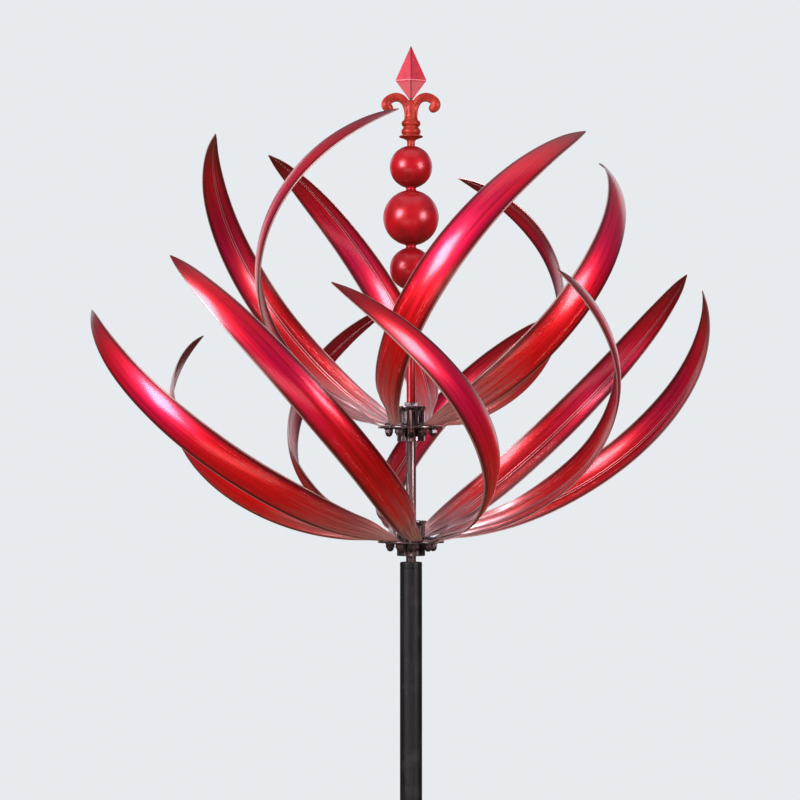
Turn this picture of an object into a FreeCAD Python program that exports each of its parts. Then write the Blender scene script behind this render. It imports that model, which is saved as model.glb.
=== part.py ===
import FreeCAD, Part

import math
import os

import Sketcher

from FreeCAD import Placement, Rotation, Vector

# Kinetic wind sculpture: two bowls of curved petals that spin opposite ways on one fixed shaft,
# under a stack of three balls and a cast finial, on a three-section pole with a pronged ground stake.
# Millimetres, +Z up, origin on the pole's axis at ground level, under the stake's step plate.

os.makedirs("parts", exist_ok=True)
doc = FreeCAD.newDocument("wind_sculpture")


# ---------------------------------------------------------------- driving dimensions

SIZES = {
    # heights
    "lower_hub_height": 1409,       # top face of the lower hub plate above the ground
    "hub_spacing": 114,             # lower hub plate to upper hub plate
    # ground stake
    "step_plate_side": 96,
    "step_plate_thickness": 4,
    "step_plate_corner": 10,
    "prong_circle": 90,
    "prong_diameter": 8,
    "prong_length": 230,
    "prong_point": 26,
    "prong_count": 4,
    "socket_diameter": 28,
    "socket_height": 90,
    "thumb_screw_diameter": 6,
    "thumb_head_diameter": 15,
    "thumb_head_thickness": 6,
    # pole
    "pole_diameter": 22,
    "pole_bore": 19,
    "pole_sections": 3,
    "coupler_length": 100,
    "coupler_bore": 16,
    "pole_screw_diameter": 4,
    "pole_screw_head": 7,
    "pole_screw_reach": 22,         # from a joint between sections to its screws
    "cap_height": 6,
    "cap_plug_depth": 34,
    "cap_rounding": 1.6,
    "neck_length": 6,               # shaft showing between the pole cap and the lower hub
    # shaft and its spacers
    "shaft_diameter": 8,
    "spacer_diameter": 10,
    "shaft_seat_depth": 26,
    "stud_diameter": 6,
    "stud_length": 14,
    "lock_nut_width": 13,
    "lock_nut_height": 5,
    # hub
    "hub_diameter": 28,
    "hub_rim_diameter": 31,
    "hub_rim_height": 4,
    "hub_above": 20,
    "hub_below": 13,
    "bearing_recess": 1,
    "hub_waist_bore": 19,
    "plate_diameter": 66,
    "plate_thickness": 2,
    "bolt_circle": 44,
    "bolt_diameter": 5,
    "bolt_head_diameter": 9,
    "bolt_head_height": 2.6,
    "washer_diameter": 10,
    "washer_thickness": 1,
    "nut_width": 8,
    "nut_height": 4,
    "nut_dome_diameter": 7,
    "grub_diameter": 6,
    # bearing
    "bearing_diameter": 22,
    "bearing_width": 7,
    "bearing_ball": 3.96,
    "bearing_ball_count": 7,
    "bearing_pitch": 15,
    "inner_race_diameter": 12,
    "outer_race_bore": 18,
    "running_gap": 0.05,
    "shield_thickness": 0.4,
    # finial stack
    "rod_diameter": 9,
    "small_ball_diameter": 42.5,
    "large_ball_diameter": 55.5,
    "ball_wall": 1.2,
    "ball_seat_diameter": 12,
    "ball_gap": 2,
    "lower_ball_height": 271.6,     # centre of the lowest ball above the lower hub plate
    "finial_neck_diameter": 8,
    "finial_neck_length": 9,
    "finial_flange_diameter": 24,
    "finial_flange_thickness": 2,
    "finial_waist_diameter": 15,
    "finial_waist_length": 18,
    "finial_bead_circle": 14,
    "finial_bead_diameter": 5.6,
    "scroll_stem_diameter": 12.6,
    "scroll_stem_length": 13,
    "scroll_head_diameter": 14.6,
    "scroll_head_length": 6,
    "scroll_arc_radius": 8.6,
    "scroll_arm_diameter": 8.6,
    "scroll_arm_offset": 15,
    "scroll_curl_diameter": 12.2,
    "diamond_width": 31,
    "diamond_depth": 14,            # at the widest place, front to back
    "diamond_foot_width": 1.2,
    "diamond_tip_width": 0.8,
    "diamond_sink": 2,              # how far the diamond's lower point sits in the casting
    "diamond_lower": 20,
    "diamond_upper": 34,
    "diamond_belt": 1,
    # petals, both bowls
    "sheet_thickness": 1,
    "tab_end": 31,                  # radius where the flat tab turns into the blade
    "arc_foot": 25,                 # radius that the arcs of the petals start from
    "tip_width": 1.6,
    # lower bowl
    "lower_count": 9,
    "lower_tilt": 42.5,             # of the plane that the petal's arc lies in, above horizontal
    "lower_arc_radius": 215.5,
    "lower_centre_out": -21,        # arc centre, outwards along the petal's own direction
    "lower_centre_up": 218,         # arc centre, up the tilted plane
    "lower_arc_end": 46,
    "lower_blade_width": 35,
    "lower_blade_depth": 5,
    "lower_tab_width": 12,
    # upper bowl
    "upper_count": 6,
    "upper_tilt": 54,
    "upper_arc_radius": 184.5,
    "upper_centre_out": -28,
    "upper_centre_up": 178,
    "upper_arc_end": 64.5,
    "upper_blade_width": 37.5,
    "upper_blade_depth": 4.5,
    "upper_tab_width": 12,
}

sizes = doc.addObject("Spreadsheet::Sheet", "sizes")
for row, (alias, number) in enumerate(SIZES.items(), start=1):
    sizes.set(f"A{row}", alias)
    sizes.set(f"B{row}", str(number))
    sizes.setAlias(f"B{row}", alias)
doc.recompute()


def size(alias):
    return float(sizes.get(alias))


# Heights above the ground that several pieces share, as expressions on the sheet.
LOWER_HUB = "sizes.lower_hub_height"
UPPER_HUB = "(sizes.lower_hub_height + sizes.hub_spacing)"
HUB_BOTTOM = "(sizes.plate_thickness + sizes.hub_below)"
CAP_TOP = "(sizes.lower_hub_height - sizes.plate_thickness - sizes.hub_below - sizes.neck_length)"
POLE_FOOT = "sizes.step_plate_thickness"
POLE_TOP = f"({CAP_TOP} - sizes.cap_height)"
SECTION = f"(({POLE_TOP} - {POLE_FOOT}) / sizes.pole_sections)"
SHAFT_FOOT = f"({CAP_TOP} - sizes.shaft_seat_depth)"
ROD_FOOT = f"({UPPER_HUB} + sizes.hub_above - sizes.bearing_recess + sizes.lock_nut_height)"
LOWER_BALL = f"({LOWER_HUB} + sizes.lower_ball_height)"
MIDDLE_BALL = (f"({LOWER_BALL} + sizes.small_ball_diameter / 2 + sizes.ball_gap"
               " + sizes.large_ball_diameter / 2)")
TOP_BALL = (f"({MIDDLE_BALL} + sizes.large_ball_diameter / 2 + sizes.ball_gap"
            " + sizes.small_ball_diameter / 2)")
TOP_BALL_SEAT = (f"({TOP_BALL} + sqrt((sizes.small_ball_diameter / 2) ^ 2"
                 " - (sizes.ball_seat_diameter / 2) ^ 2))")
FLANGE_FOOT = f"({TOP_BALL_SEAT} + sizes.finial_neck_length)"
WAIST_FOOT = f"({FLANGE_FOOT} + sizes.finial_flange_thickness)"
SCROLL_FOOT = f"({WAIST_FOOT} + sizes.finial_waist_length)"
DIAMOND_FOOT = f"({SCROLL_FOOT} + sizes.scroll_stem_length + sizes.scroll_head_length - sizes.diamond_sink)"


# ---------------------------------------------------------------- building blocks

NODES = []


def keep(piece, label):
    """Name a finished sub-part and list it for writing."""
    piece.Label = label
    NODES.append(piece)
    return piece


def add(kind, name, **expressions):
    """A document object whose properties are bound to the sheet."""
    piece = doc.addObject(kind, name)
    for key, expression in expressions.items():
        piece.setExpression(key, expression)
    return piece


def lift(piece, height, out=None, side=None):
    """Bind a piece's position to the sheet."""
    piece.setExpression("Placement.Base.z", height)
    if out is not None:
        piece.setExpression("Placement.Base.x", out)
    if side is not None:
        piece.setExpression("Placement.Base.y", side)
    return piece


def cylinder(name, diameter, height, foot, out=None, side=None):
    piece = add("Part::Cylinder", name, Radius=f"({diameter}) / 2", Height=height)
    return lift(piece, foot, out, side)


def cone(name, lower_diameter, upper_diameter, height, foot):
    piece = add("Part::Cone", name, Radius1=f"({lower_diameter}) / 2", Radius2=f"({upper_diameter}) / 2",
                Height=height)
    return lift(piece, foot)


def sphere(name, diameter, centre, out=None, side=None):
    return lift(add("Part::Sphere", name, Radius=f"({diameter}) / 2"), centre, out, side)


def cut(name, base, tool):
    piece = doc.addObject("Part::Cut", name)
    piece.Base = base
    piece.Tool = tool
    return piece


def common(name, base, tool):
    piece = doc.addObject("Part::Common", name)
    piece.Base = base
    piece.Tool = tool
    return piece


def fuse(name, *shapes):
    piece = doc.addObject("Part::MultiFuse", name)
    piece.Shapes = list(shapes)
    return piece


def group(name, members):
    """Several equal, separate solids that share one node."""
    piece = doc.addObject("Part::Compound", name)
    piece.Links = members
    return piece


def tube(name, outer, inner, height, foot):
    body = cylinder(f"{name}_outside", outer, height, foot)
    bore = cylinder(f"{name}_bore", inner, height, foot)
    return cut(name, body, bore)


def radial_pin(name, diameter, inner_radius, outer_radius, height, bearing_deg=0):
    """A cylinder that lies along a radius of the pole."""
    pin = add("Part::Cylinder", name, Radius=f"({diameter}) / 2",
              Height=f"({outer_radius}) - ({inner_radius})")
    lying = Rotation(Vector(0, 0, 1), bearing_deg) * Rotation(Vector(0, 1, 0), 90)
    pin.Placement = Placement(Vector(), lying)
    pin.setExpression("Placement.Base.x", f"({inner_radius}) * cos({bearing_deg} deg)")
    pin.setExpression("Placement.Base.y", f"({inner_radius}) * sin({bearing_deg} deg)")
    pin.setExpression("Placement.Base.z", height)
    return pin


def hexagon(name, width, height, foot, out=None, side=None):
    prism = add("Part::Prism", name, Circumradius=f"({width}) / 2 / cos(30 deg)", Height=height)
    prism.Polygon = 6
    return lift(prism, foot, out, side)


def around(angle_deg, circle):
    """Sheet expressions for a place on a circle of the given diameter."""
    return f"({circle}) / 2 * cos({angle_deg} deg)", f"({circle}) / 2 * sin({angle_deg} deg)"


def origin_plane(body, role):
    for feature in body.Origin.OriginFeatures:
        if feature.Role == role:
            return feature
    raise ValueError(role)


def new_sketch(body, name, role):
    sketch = body.newObject("Sketcher::SketchObject", name)
    sketch.AttachmentSupport = [(origin_plane(body, role), "")]
    sketch.MapMode = "FlatFace"
    return sketch


def turned(label, corners):
    """A body of revolution about Z from (radius, height) corners, each an expression on the sheet."""
    body = doc.addObject("PartDesign::Body", label)
    sketch = new_sketch(body, f"{label}_profile", "XZ_Plane")
    places = [(evaluate(radius), evaluate(height)) for radius, height in corners]
    count = len(places)
    for index in range(count):
        start = Vector(*places[index], 0)
        end = Vector(*places[(index + 1) % count], 0)
        sketch.addGeometry(Part.LineSegment(start, end), False)
    for index in range(count):
        sketch.addConstraint(Sketcher.Constraint("Coincident", index, 2, (index + 1) % count, 1))
    for index, (radius, height) in enumerate(corners):
        if places[index][0] == 0:
            sketch.addConstraint(Sketcher.Constraint("PointOnObject", index, 1, -2))
        else:
            bind_distance(sketch, "DistanceX", index, f"radius_{index}", places[index][0], radius)
        bind_distance(sketch, "DistanceY", index, f"height_{index}", places[index][1], height)
    revolution = body.newObject("PartDesign::Revolution", f"{label}_turning")
    revolution.Profile = sketch
    revolution.ReferenceAxis = (sketch, ["V_Axis"])
    revolution.Angle = 360
    return body


def bind_distance(sketch, kind, edge, name, value, expression):
    """A distance from the sketch's origin to the start of an edge, bound to the sheet."""
    number = sketch.addConstraint(Sketcher.Constraint(kind, -1, 1, edge, 1, value))
    sketch.renameConstraint(number, name)
    sketch.setExpression(f"Constraints.{name}", expression)


def evaluate(expression):
    return float(sizes.evalExpression(expression))


def half(alias):
    return f"sizes.{alias} / 2"


# ---------------------------------------------------------------- ground stake

def make_step_plate():
    body = doc.addObject("PartDesign::Body", "step_plate")
    sketch = new_sketch(body, "step_plate_outline", "XY_Plane")
    side = size("step_plate_side") / 2
    corners = [Vector(-side, -side), Vector(side, -side), Vector(side, side), Vector(-side, side)]
    for index in range(4):
        sketch.addGeometry(Part.LineSegment(corners[index], corners[(index + 1) % 4]), False)
        sketch.addConstraint(Sketcher.Constraint("Horizontal" if index % 2 == 0 else "Vertical", index))
    for index in range(4):
        sketch.addConstraint(Sketcher.Constraint("Coincident", index, 2, (index + 1) % 4, 1))
    sketch.addConstraint(Sketcher.Constraint("Symmetric", 0, 1, 2, 1, -1, 1))
    for edge, kind, name in ((0, "DistanceX", "width"), (1, "DistanceY", "depth")):
        number = sketch.addConstraint(Sketcher.Constraint(kind, edge, 1, edge, 2, side * 2))
        sketch.renameConstraint(number, name)
        sketch.setExpression(f"Constraints.{name}", "sizes.step_plate_side")
    pad = body.newObject("PartDesign::Pad", "step_plate_pad")
    pad.Profile = sketch
    pad.setExpression("Length", "sizes.step_plate_thickness")
    doc.recompute()
    fillet = body.newObject("PartDesign::Fillet", "step_plate_corners")
    upright = [f"Edge{number}" for number, edge in enumerate(pad.Shape.Edges, start=1)
               if abs(edge.tangentAt(edge.FirstParameter).z) > 0.99]
    fillet.Base = (pad, upright)
    fillet.setExpression("Radius", "sizes.step_plate_corner")
    body.Tip = fillet
    return body


def make_prongs():
    prongs = []
    for index in range(int(size("prong_count"))):
        angle = 45 + 360 / size("prong_count") * index
        out, side = around(angle, "sizes.prong_circle")
        shank_foot = "-(sizes.prong_length - sizes.prong_point)"
        shank = cylinder(f"prong_shank_{index}", "sizes.prong_diameter",
                         "sizes.prong_length - sizes.prong_point", shank_foot, out, side)
        point = cone(f"prong_point_{index}", "sizes.prong_diameter / 4", "sizes.prong_diameter",
                     "sizes.prong_point", "-sizes.prong_length")
        lift(point, "-sizes.prong_length", out, side)
        prongs.append(fuse(f"prong_{index}", shank, point))
    return group("stake_prongs", prongs)


def make_socket():
    wall = tube("socket_tube", "sizes.socket_diameter", "sizes.pole_diameter", "sizes.socket_height",
                POLE_FOOT)
    hole = radial_pin("socket_screw_hole", "sizes.thumb_screw_diameter", half("pole_diameter") + " - 1",
                      half("socket_diameter") + " + 1", THUMB_HEIGHT)
    return cut("stake_socket", wall, hole)


def make_thumb_screw():
    shank = radial_pin("thumb_screw_shank", "sizes.thumb_screw_diameter", half("pole_diameter"),
                       half("socket_diameter") + " + 6", THUMB_HEIGHT)
    head = radial_pin("thumb_screw_head", "sizes.thumb_head_diameter", half("socket_diameter") + " + 6",
                      half("socket_diameter") + " + 6 + sizes.thumb_head_thickness", THUMB_HEIGHT)
    return fuse("stake_thumb_screw", shank, head)


THUMB_HEIGHT = f"({POLE_FOOT} + sizes.socket_height * 2 / 3)"

keep(make_step_plate(), "step_plate")
keep(make_prongs(), "stake_prongs")
keep(make_socket(), "stake_socket")
keep(make_thumb_screw(), "stake_thumb_screw")


# ---------------------------------------------------------------- pole

def joint_height(number):
    """Where pole section `number` ends and the next begins."""
    return f"({POLE_FOOT} + {SECTION} * {number})"


def joint_screw_heights():
    heights = []
    for number in range(1, int(size("pole_sections"))):
        heights.append(f"({joint_height(number)} - sizes.pole_screw_reach)")
        heights.append(f"({joint_height(number)} + sizes.pole_screw_reach)")
    return heights


def make_screw_holes(name):
    holes = [radial_pin(f"{name}_{index}", "sizes.pole_screw_diameter", half("coupler_bore") + " - 1",
                        half("pole_diameter") + " + 1", height)
             for index, height in enumerate(joint_screw_heights())]
    return fuse(name, *holes)


def make_pole_section(number, label):
    foot = joint_height(number - 1)
    wall = tube(f"{label}_tube", "sizes.pole_diameter", "sizes.pole_bore", SECTION, foot)
    return cut(label, wall, make_screw_holes(f"{label}_screw_holes"))


def make_couplers():
    couplers = []
    for number in range(1, int(size("pole_sections"))):
        foot = f"{joint_height(number)} - sizes.coupler_length / 2"
        wall = tube(f"coupler_tube_{number}", "sizes.pole_bore", "sizes.coupler_bore",
                    "sizes.coupler_length", foot)
        couplers.append(cut(f"coupler_{number}", wall, make_screw_holes(f"coupler_{number}_screw_holes")))
    return group("pole_couplers", couplers)


def make_pole_screws():
    screws = []
    for index, height in enumerate(joint_screw_heights()):
        shank = radial_pin(f"pole_screw_shank_{index}", "sizes.pole_screw_diameter", half("coupler_bore"),
                           half("pole_diameter") + " + 1", height)
        head = radial_pin(f"pole_screw_head_{index}", "sizes.pole_screw_head", half("pole_diameter"),
                          half("pole_diameter") + " + 2", height)
        hug = cylinder(f"pole_screw_seat_{index}", "sizes.pole_diameter", "sizes.pole_screw_head + 2",
                       f"{height} - sizes.pole_screw_head / 2 - 1")
        seated_head = cut(f"pole_screw_seated_head_{index}", head, hug)
        screws.append(fuse(f"pole_screw_{index}", shank, seated_head))
    return group("pole_screws", screws)


def make_cap():
    """Plug in the pole's top that holds the shaft, with a rounded black rim."""
    plug_radius = half("pole_bore")
    rim_radius = half("pole_diameter")
    shaft_radius = half("shaft_diameter")
    corners = [
        ("0", f"{POLE_TOP} - sizes.cap_plug_depth"),
        (plug_radius, f"{POLE_TOP} - sizes.cap_plug_depth"),
        (plug_radius, POLE_TOP),
        (rim_radius, POLE_TOP),
        (rim_radius, CAP_TOP),
        (shaft_radius, CAP_TOP),
        (shaft_radius, SHAFT_FOOT),
        ("0", SHAFT_FOOT),
    ]
    body = turned("pole_cap", corners)
    doc.recompute()
    turning = body.Tip
    fillet = body.newObject("PartDesign::Fillet", "pole_cap_rounding")
    top = evaluate(CAP_TOP)
    rim = [f"Edge{number}" for number, edge in enumerate(turning.Shape.Edges, start=1)
           if abs(edge.CenterOfMass.z - top) < 0.01 and edge.Length > 3 * size("pole_diameter")]
    fillet.Base = (turning, rim)
    fillet.setExpression("Radius", "sizes.cap_rounding")
    body.Tip = fillet
    return body


for number, label in enumerate(("pole_lower", "pole_middle", "pole_upper"), start=1):
    keep(make_pole_section(number, label), label)
keep(make_couplers(), "pole_couplers")
keep(make_pole_screws(), "pole_screws")
keep(make_cap(), "pole_cap")


# ---------------------------------------------------------------- shaft, spacers and nut

def hub_bearing_feet(hub):
    """Heights of the undersides of a hub's two bearings."""
    lower = f"({hub} - {HUB_BOTTOM} + sizes.bearing_recess)"
    upper = f"({hub} + sizes.hub_above - sizes.bearing_recess - sizes.bearing_width)"
    return lower, upper


def spacer(name, foot, top):
    return tube(name, "sizes.spacer_diameter", "sizes.shaft_diameter", f"({top}) - ({foot})", foot)


def make_inner_spacers():
    spacers = []
    for name, hub in (("lower", LOWER_HUB), ("upper", UPPER_HUB)):
        first, second = hub_bearing_feet(hub)
        spacers.append(spacer(f"{name}_inner_spacer", f"({first} + sizes.bearing_width)", second))
    return group("hub_inner_spacers", spacers)


def make_lock_nut():
    nut = hexagon("lock_nut_blank", "sizes.lock_nut_width", "sizes.lock_nut_height",
                  f"{ROD_FOOT} - sizes.lock_nut_height")
    bore = cylinder("lock_nut_bore", "sizes.shaft_diameter", "sizes.lock_nut_height",
                    f"{ROD_FOOT} - sizes.lock_nut_height")
    return cut("shaft_lock_nut", nut, bore)


lower_first, lower_second = hub_bearing_feet(LOWER_HUB)
upper_first, upper_second = hub_bearing_feet(UPPER_HUB)

keep(turned("shaft", [
    ("0", SHAFT_FOOT),
    (half("shaft_diameter"), SHAFT_FOOT),
    (half("shaft_diameter"), ROD_FOOT),
    (half("stud_diameter"), ROD_FOOT),
    (half("stud_diameter"), f"{ROD_FOOT} + sizes.stud_length"),
    ("0", f"{ROD_FOOT} + sizes.stud_length"),
]), "shaft")
keep(spacer("neck_spacer", CAP_TOP, lower_first), "neck_spacer")
keep(make_inner_spacers(), "hub_inner_spacers")
keep(spacer("middle_spacer", f"({lower_second} + sizes.bearing_width)", upper_first), "middle_spacer")
keep(make_lock_nut(), "shaft_lock_nut")


# ---------------------------------------------------------------- bearings

def bearing_groove(name, foot):
    """The ring-shaped track that the balls run in."""
    track = add("Part::Torus", name, Radius1="sizes.bearing_pitch / 2",
                Radius2="sizes.bearing_ball / 2 + sizes.running_gap")
    return lift(track, f"{foot} + sizes.bearing_width / 2")


def make_inner_race(name, foot):
    ring = tube(f"{name}_ring", "sizes.inner_race_diameter", "sizes.shaft_diameter",
                "sizes.bearing_width", foot)
    return cut(name, ring, bearing_groove(f"{name}_groove", foot))


def make_outer_race(name, foot):
    ring = tube(f"{name}_ring", "sizes.bearing_diameter", "sizes.outer_race_bore",
                "sizes.bearing_width", foot)
    return cut(name, ring, bearing_groove(f"{name}_groove", foot))


def make_bearing_balls(name, foot):
    count = int(size("bearing_ball_count"))
    balls = []
    for index in range(count):
        out, side = around(360 / count * index, "sizes.bearing_pitch")
        balls.append(sphere(f"{name}_{index}", "sizes.bearing_ball",
                            f"{foot} + sizes.bearing_width / 2", out, side))
    return balls


def make_shields(name, foot):
    """The two thin covers pressed into a bearing's outer race."""
    outer = "sizes.outer_race_bore"
    inner = "sizes.inner_race_diameter + 0.4"
    lower = tube(f"{name}_lower", outer, inner, "sizes.shield_thickness", foot)
    upper = tube(f"{name}_upper", outer, inner, "sizes.shield_thickness",
                 f"{foot} + sizes.bearing_width - sizes.shield_thickness")
    return [lower, upper]


BEARINGS = {"lower": (lower_first, lower_second), "upper": (upper_first, upper_second)}

inner_races = []
bearing_balls = []
for rotor, feet in BEARINGS.items():
    outer_races = []
    shields = []
    for index, foot in enumerate(feet, start=1):
        inner_races.append(make_inner_race(f"{rotor}_inner_race_{index}", foot))
        bearing_balls.extend(make_bearing_balls(f"{rotor}_bearing_{index}_ball", foot))
        outer_races.append(make_outer_race(f"{rotor}_outer_race_{index}", foot))
        shields.extend(make_shields(f"{rotor}_shield_{index}", foot))
    keep(group(f"{rotor}_outer_races", outer_races), f"{rotor}_outer_races")
    keep(group(f"{rotor}_bearing_shields", shields), f"{rotor}_bearing_shields")
keep(group("bearing_inner_races", inner_races), "bearing_inner_races")
keep(group("bearing_balls", bearing_balls), "bearing_balls")


# ---------------------------------------------------------------- hubs and their fasteners

def make_hub_tube(rotor, hub):
    """Bearing housing: a tube through the plate with a flared rim, a seat for a bearing at each end."""
    foot = f"({hub} - {HUB_BOTTOM})"
    top = f"({hub} + sizes.hub_above)"
    seat = "sizes.bearing_recess + sizes.bearing_width"
    corners = [
        (half("bearing_diameter"), foot),
        (half("hub_diameter"), foot),
        (half("hub_diameter"), f"{top} - sizes.hub_rim_height"),
        (half("hub_rim_diameter"), f"{top} - 1"),
        (half("hub_rim_diameter"), top),
        (half("bearing_diameter"), top),
        (half("bearing_diameter"), f"{top} - ({seat})"),
        (half("hub_waist_bore"), f"{top} - ({seat})"),
        (half("hub_waist_bore"), f"{foot} + {seat}"),
        (half("bearing_diameter"), f"{foot} + {seat}"),
    ]
    housing = turned(f"{rotor}_hub_turning", corners)
    hole = radial_pin(f"{rotor}_grub_hole", "sizes.grub_diameter", half("bearing_diameter") + " - 3",
                      half("hub_diameter") + " + 3", grub_height(hub), GRUB_BEARING)
    return cut(f"{rotor}_hub_tube", housing, hole)


def grub_height(hub):
    return f"({hub} - sizes.plate_thickness - sizes.hub_below / 2 - 0.5)"


def make_grub_screw(rotor, hub):
    """The set screw that stops the lower bearing turning in its housing, with a hex socket."""
    screw = radial_pin(f"{rotor}_grub_blank", "sizes.grub_diameter", half("bearing_diameter"),
                       half("hub_diameter") + " - 0.2", grub_height(hub), GRUB_BEARING)
    key = radial_pin(f"{rotor}_grub_key", "sizes.grub_diameter / 2", half("hub_diameter") + " - 1.4",
                     half("hub_diameter") + " + 1", grub_height(hub), GRUB_BEARING)
    return cut(f"{rotor}_hub_grub_screw", screw, key)


def make_hub_plate(rotor, hub):
    body = doc.addObject("PartDesign::Body", f"{rotor}_hub_plate")
    disc = new_sketch(body, f"{rotor}_plate_outline", "XY_Plane")
    disc.setExpression(".AttachmentOffset.Base.z", f"{hub} - sizes.plate_thickness")
    for index, (name, alias) in enumerate((("rim", "plate_diameter"), ("bore", "hub_diameter"))):
        disc.addGeometry(Part.Circle(Vector(), Vector(0, 0, 1), size(alias) / 2), False)
        disc.addConstraint(Sketcher.Constraint("Coincident", index, 3, -1, 1))
        number = disc.addConstraint(Sketcher.Constraint("Diameter", index, size(alias)))
        disc.renameConstraint(number, name)
        disc.setExpression(f"Constraints.{name}", f"sizes.{alias}")
    pad = body.newObject("PartDesign::Pad", f"{rotor}_plate_pad")
    pad.Profile = disc
    pad.setExpression("Length", "sizes.plate_thickness")
    hole = new_sketch(body, f"{rotor}_bolt_hole", "XY_Plane")
    hole.setExpression(".AttachmentOffset.Base.z", hub)
    centre = Vector(size("bolt_circle") / 2, 0, 0)
    hole.addGeometry(Part.Circle(centre, Vector(0, 0, 1), size("bolt_diameter") / 2), False)
    hole.addConstraint(Sketcher.Constraint("PointOnObject", 0, 3, -1))
    for name, constraint, expression in (
            ("reach", Sketcher.Constraint("DistanceX", -1, 1, 0, 3, centre.x), half("bolt_circle")),
            ("width", Sketcher.Constraint("Diameter", 0, size("bolt_diameter")), "sizes.bolt_diameter")):
        number = hole.addConstraint(constraint)
        hole.renameConstraint(number, name)
        hole.setExpression(f"Constraints.{name}", expression)
    pocket = body.newObject("PartDesign::Pocket", f"{rotor}_plate_drilling")
    pocket.Profile = hole
    pocket.setExpression("Length", "sizes.plate_thickness * 2")
    doc.recompute()
    pattern = body.newObject("PartDesign::PolarPattern", f"{rotor}_plate_pattern")
    pattern.Originals = [pocket]
    pattern.Axis = (disc, ["N_Axis"])
    pattern.Angle = 360
    pattern.setExpression("Occurrences", f"sizes.{rotor}_count")
    body.Tip = pattern
    return body


def petal_angle(rotor, index):
    """Bearing of a petal, counted anticlockwise from +X."""
    return 360 / size(f"{rotor}_count") * index + FIRST_PETAL_DEG[rotor]


def make_bolts(rotor, hub):
    tab_top = f"({hub} + sizes.sheet_thickness)"
    nut_foot = f"({hub} - sizes.plate_thickness - sizes.washer_thickness - sizes.nut_height)"
    bolts = []
    for index in range(int(size(f"{rotor}_count"))):
        out, side = around(petal_angle(rotor, index), "sizes.bolt_circle")
        name = f"{rotor}_bolt_{index}"
        shank = cylinder(f"{name}_shank", "sizes.bolt_diameter", f"{tab_top} - {nut_foot}", nut_foot,
                         out, side)
        head = cone(f"{name}_head", "sizes.bolt_head_diameter", "sizes.bolt_head_diameter * 0.6",
                    "sizes.bolt_head_height", tab_top)
        lift(head, tab_top, out, side)
        bolts.append(fuse(name, shank, head))
    return group(f"{rotor}_petal_bolts", bolts)


def make_washers(rotor, hub):
    foot = f"({hub} - sizes.plate_thickness - sizes.washer_thickness)"
    washers = []
    for index in range(int(size(f"{rotor}_count"))):
        out, side = around(petal_angle(rotor, index), "sizes.bolt_circle")
        name = f"{rotor}_washer_{index}"
        disc = cylinder(f"{name}_disc", "sizes.washer_diameter", "sizes.washer_thickness", foot, out, side)
        hole = cylinder(f"{name}_hole", "sizes.bolt_diameter", "sizes.washer_thickness", foot, out, side)
        washers.append(cut(name, disc, hole))
    return group(f"{rotor}_petal_washers", washers)


def make_cap_nuts(rotor, hub):
    """Domed nuts under the plate."""
    top = f"({hub} - sizes.plate_thickness - sizes.washer_thickness)"
    nuts = []
    for index in range(int(size(f"{rotor}_count"))):
        out, side = around(petal_angle(rotor, index), "sizes.bolt_circle")
        name = f"{rotor}_nut_{index}"
        hexes = hexagon(f"{name}_hexagon", "sizes.nut_width", "sizes.nut_height",
                        f"{top} - sizes.nut_height", out, side)
        dome = sphere(f"{name}_dome", "sizes.nut_dome_diameter", f"{top} - sizes.nut_height", out, side)
        thread = cylinder(f"{name}_thread", "sizes.bolt_diameter", "sizes.nut_height",
                          f"{top} - sizes.nut_height", out, side)
        nuts.append(cut(name, fuse(f"{name}_blank", hexes, dome), thread))
    return group(f"{rotor}_petal_nuts", nuts)


GRUB_BEARING = 270
FIRST_PETAL_DEG = {"lower": 0, "upper": 182}
HUBS = {"lower": LOWER_HUB, "upper": UPPER_HUB}

for rotor, hub in HUBS.items():
    keep(make_hub_tube(rotor, hub), f"{rotor}_hub_tube")
    keep(make_grub_screw(rotor, hub), f"{rotor}_hub_grub_screw")
    plate = keep(make_hub_plate(rotor, hub), f"{rotor}_hub_plate")
    plate.Placement = Placement(Vector(), Rotation(Vector(0, 0, 1), FIRST_PETAL_DEG[rotor]))
    keep(make_bolts(rotor, hub), f"{rotor}_petal_bolts")
    keep(make_washers(rotor, hub), f"{rotor}_petal_washers")
    keep(make_cap_nuts(rotor, hub), f"{rotor}_petal_nuts")


# ---------------------------------------------------------------- petals

# Each petal is a leaf of sheet metal rolled into a shallow trough and bent to one circular arc. The arc
# lies in a tilted plane, so the petals sweep round the hub like the blades of a turbine. All the lower
# petals sweep one way and all the upper ones the other.

SWEEP = {"lower": -1, "upper": 1}

# Where along the blade its width is set: share of its length, share of its full width.
LEAF = [
    (0.06, 0.52),
    (0.13, 0.76),
    (0.25, 0.96),
    (0.40, 1.00),
    (0.56, 0.98),
    (0.70, 0.88),
    (0.82, 0.73),
    (0.91, 0.50),
    (0.97, 0.25),
]

# The blades are set by hand, so each stands a few degrees off its even place about the arc's foot:
# turned about the upright, raised at the tip, and rolled about its own direction, to half a degree.
# Last comes how many degrees of arc the blade's tip reaches beyond the usual end.
HAND_SET = {
    "lower": [(0, 0.5, -1, 0), (-6.5, -2.5, -2, 0), (-6.5, 0.5, 3.5, 0),
              (2, -6.5, 0, 0), (-1.5, 0.5, 0.5, 0), (-3, -5, -5, 0),
              (2, -2, -3.5, 0), (1.5, -2.5, 4.5, 0), (1, -3, -2.5, 0)],
    "upper": [(1.5, 0.5, 0, 8), (-1.5, -1.5, -2, 3), (4, 1, -1.5, 0),
              (0.5, -4, -1.5, 3), (6.5, -2, 3, 0), (-0.5, 2, 1, 0)],
}

# How many points shape the hollow of each section.
SECTION_POINTS = 7


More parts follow.
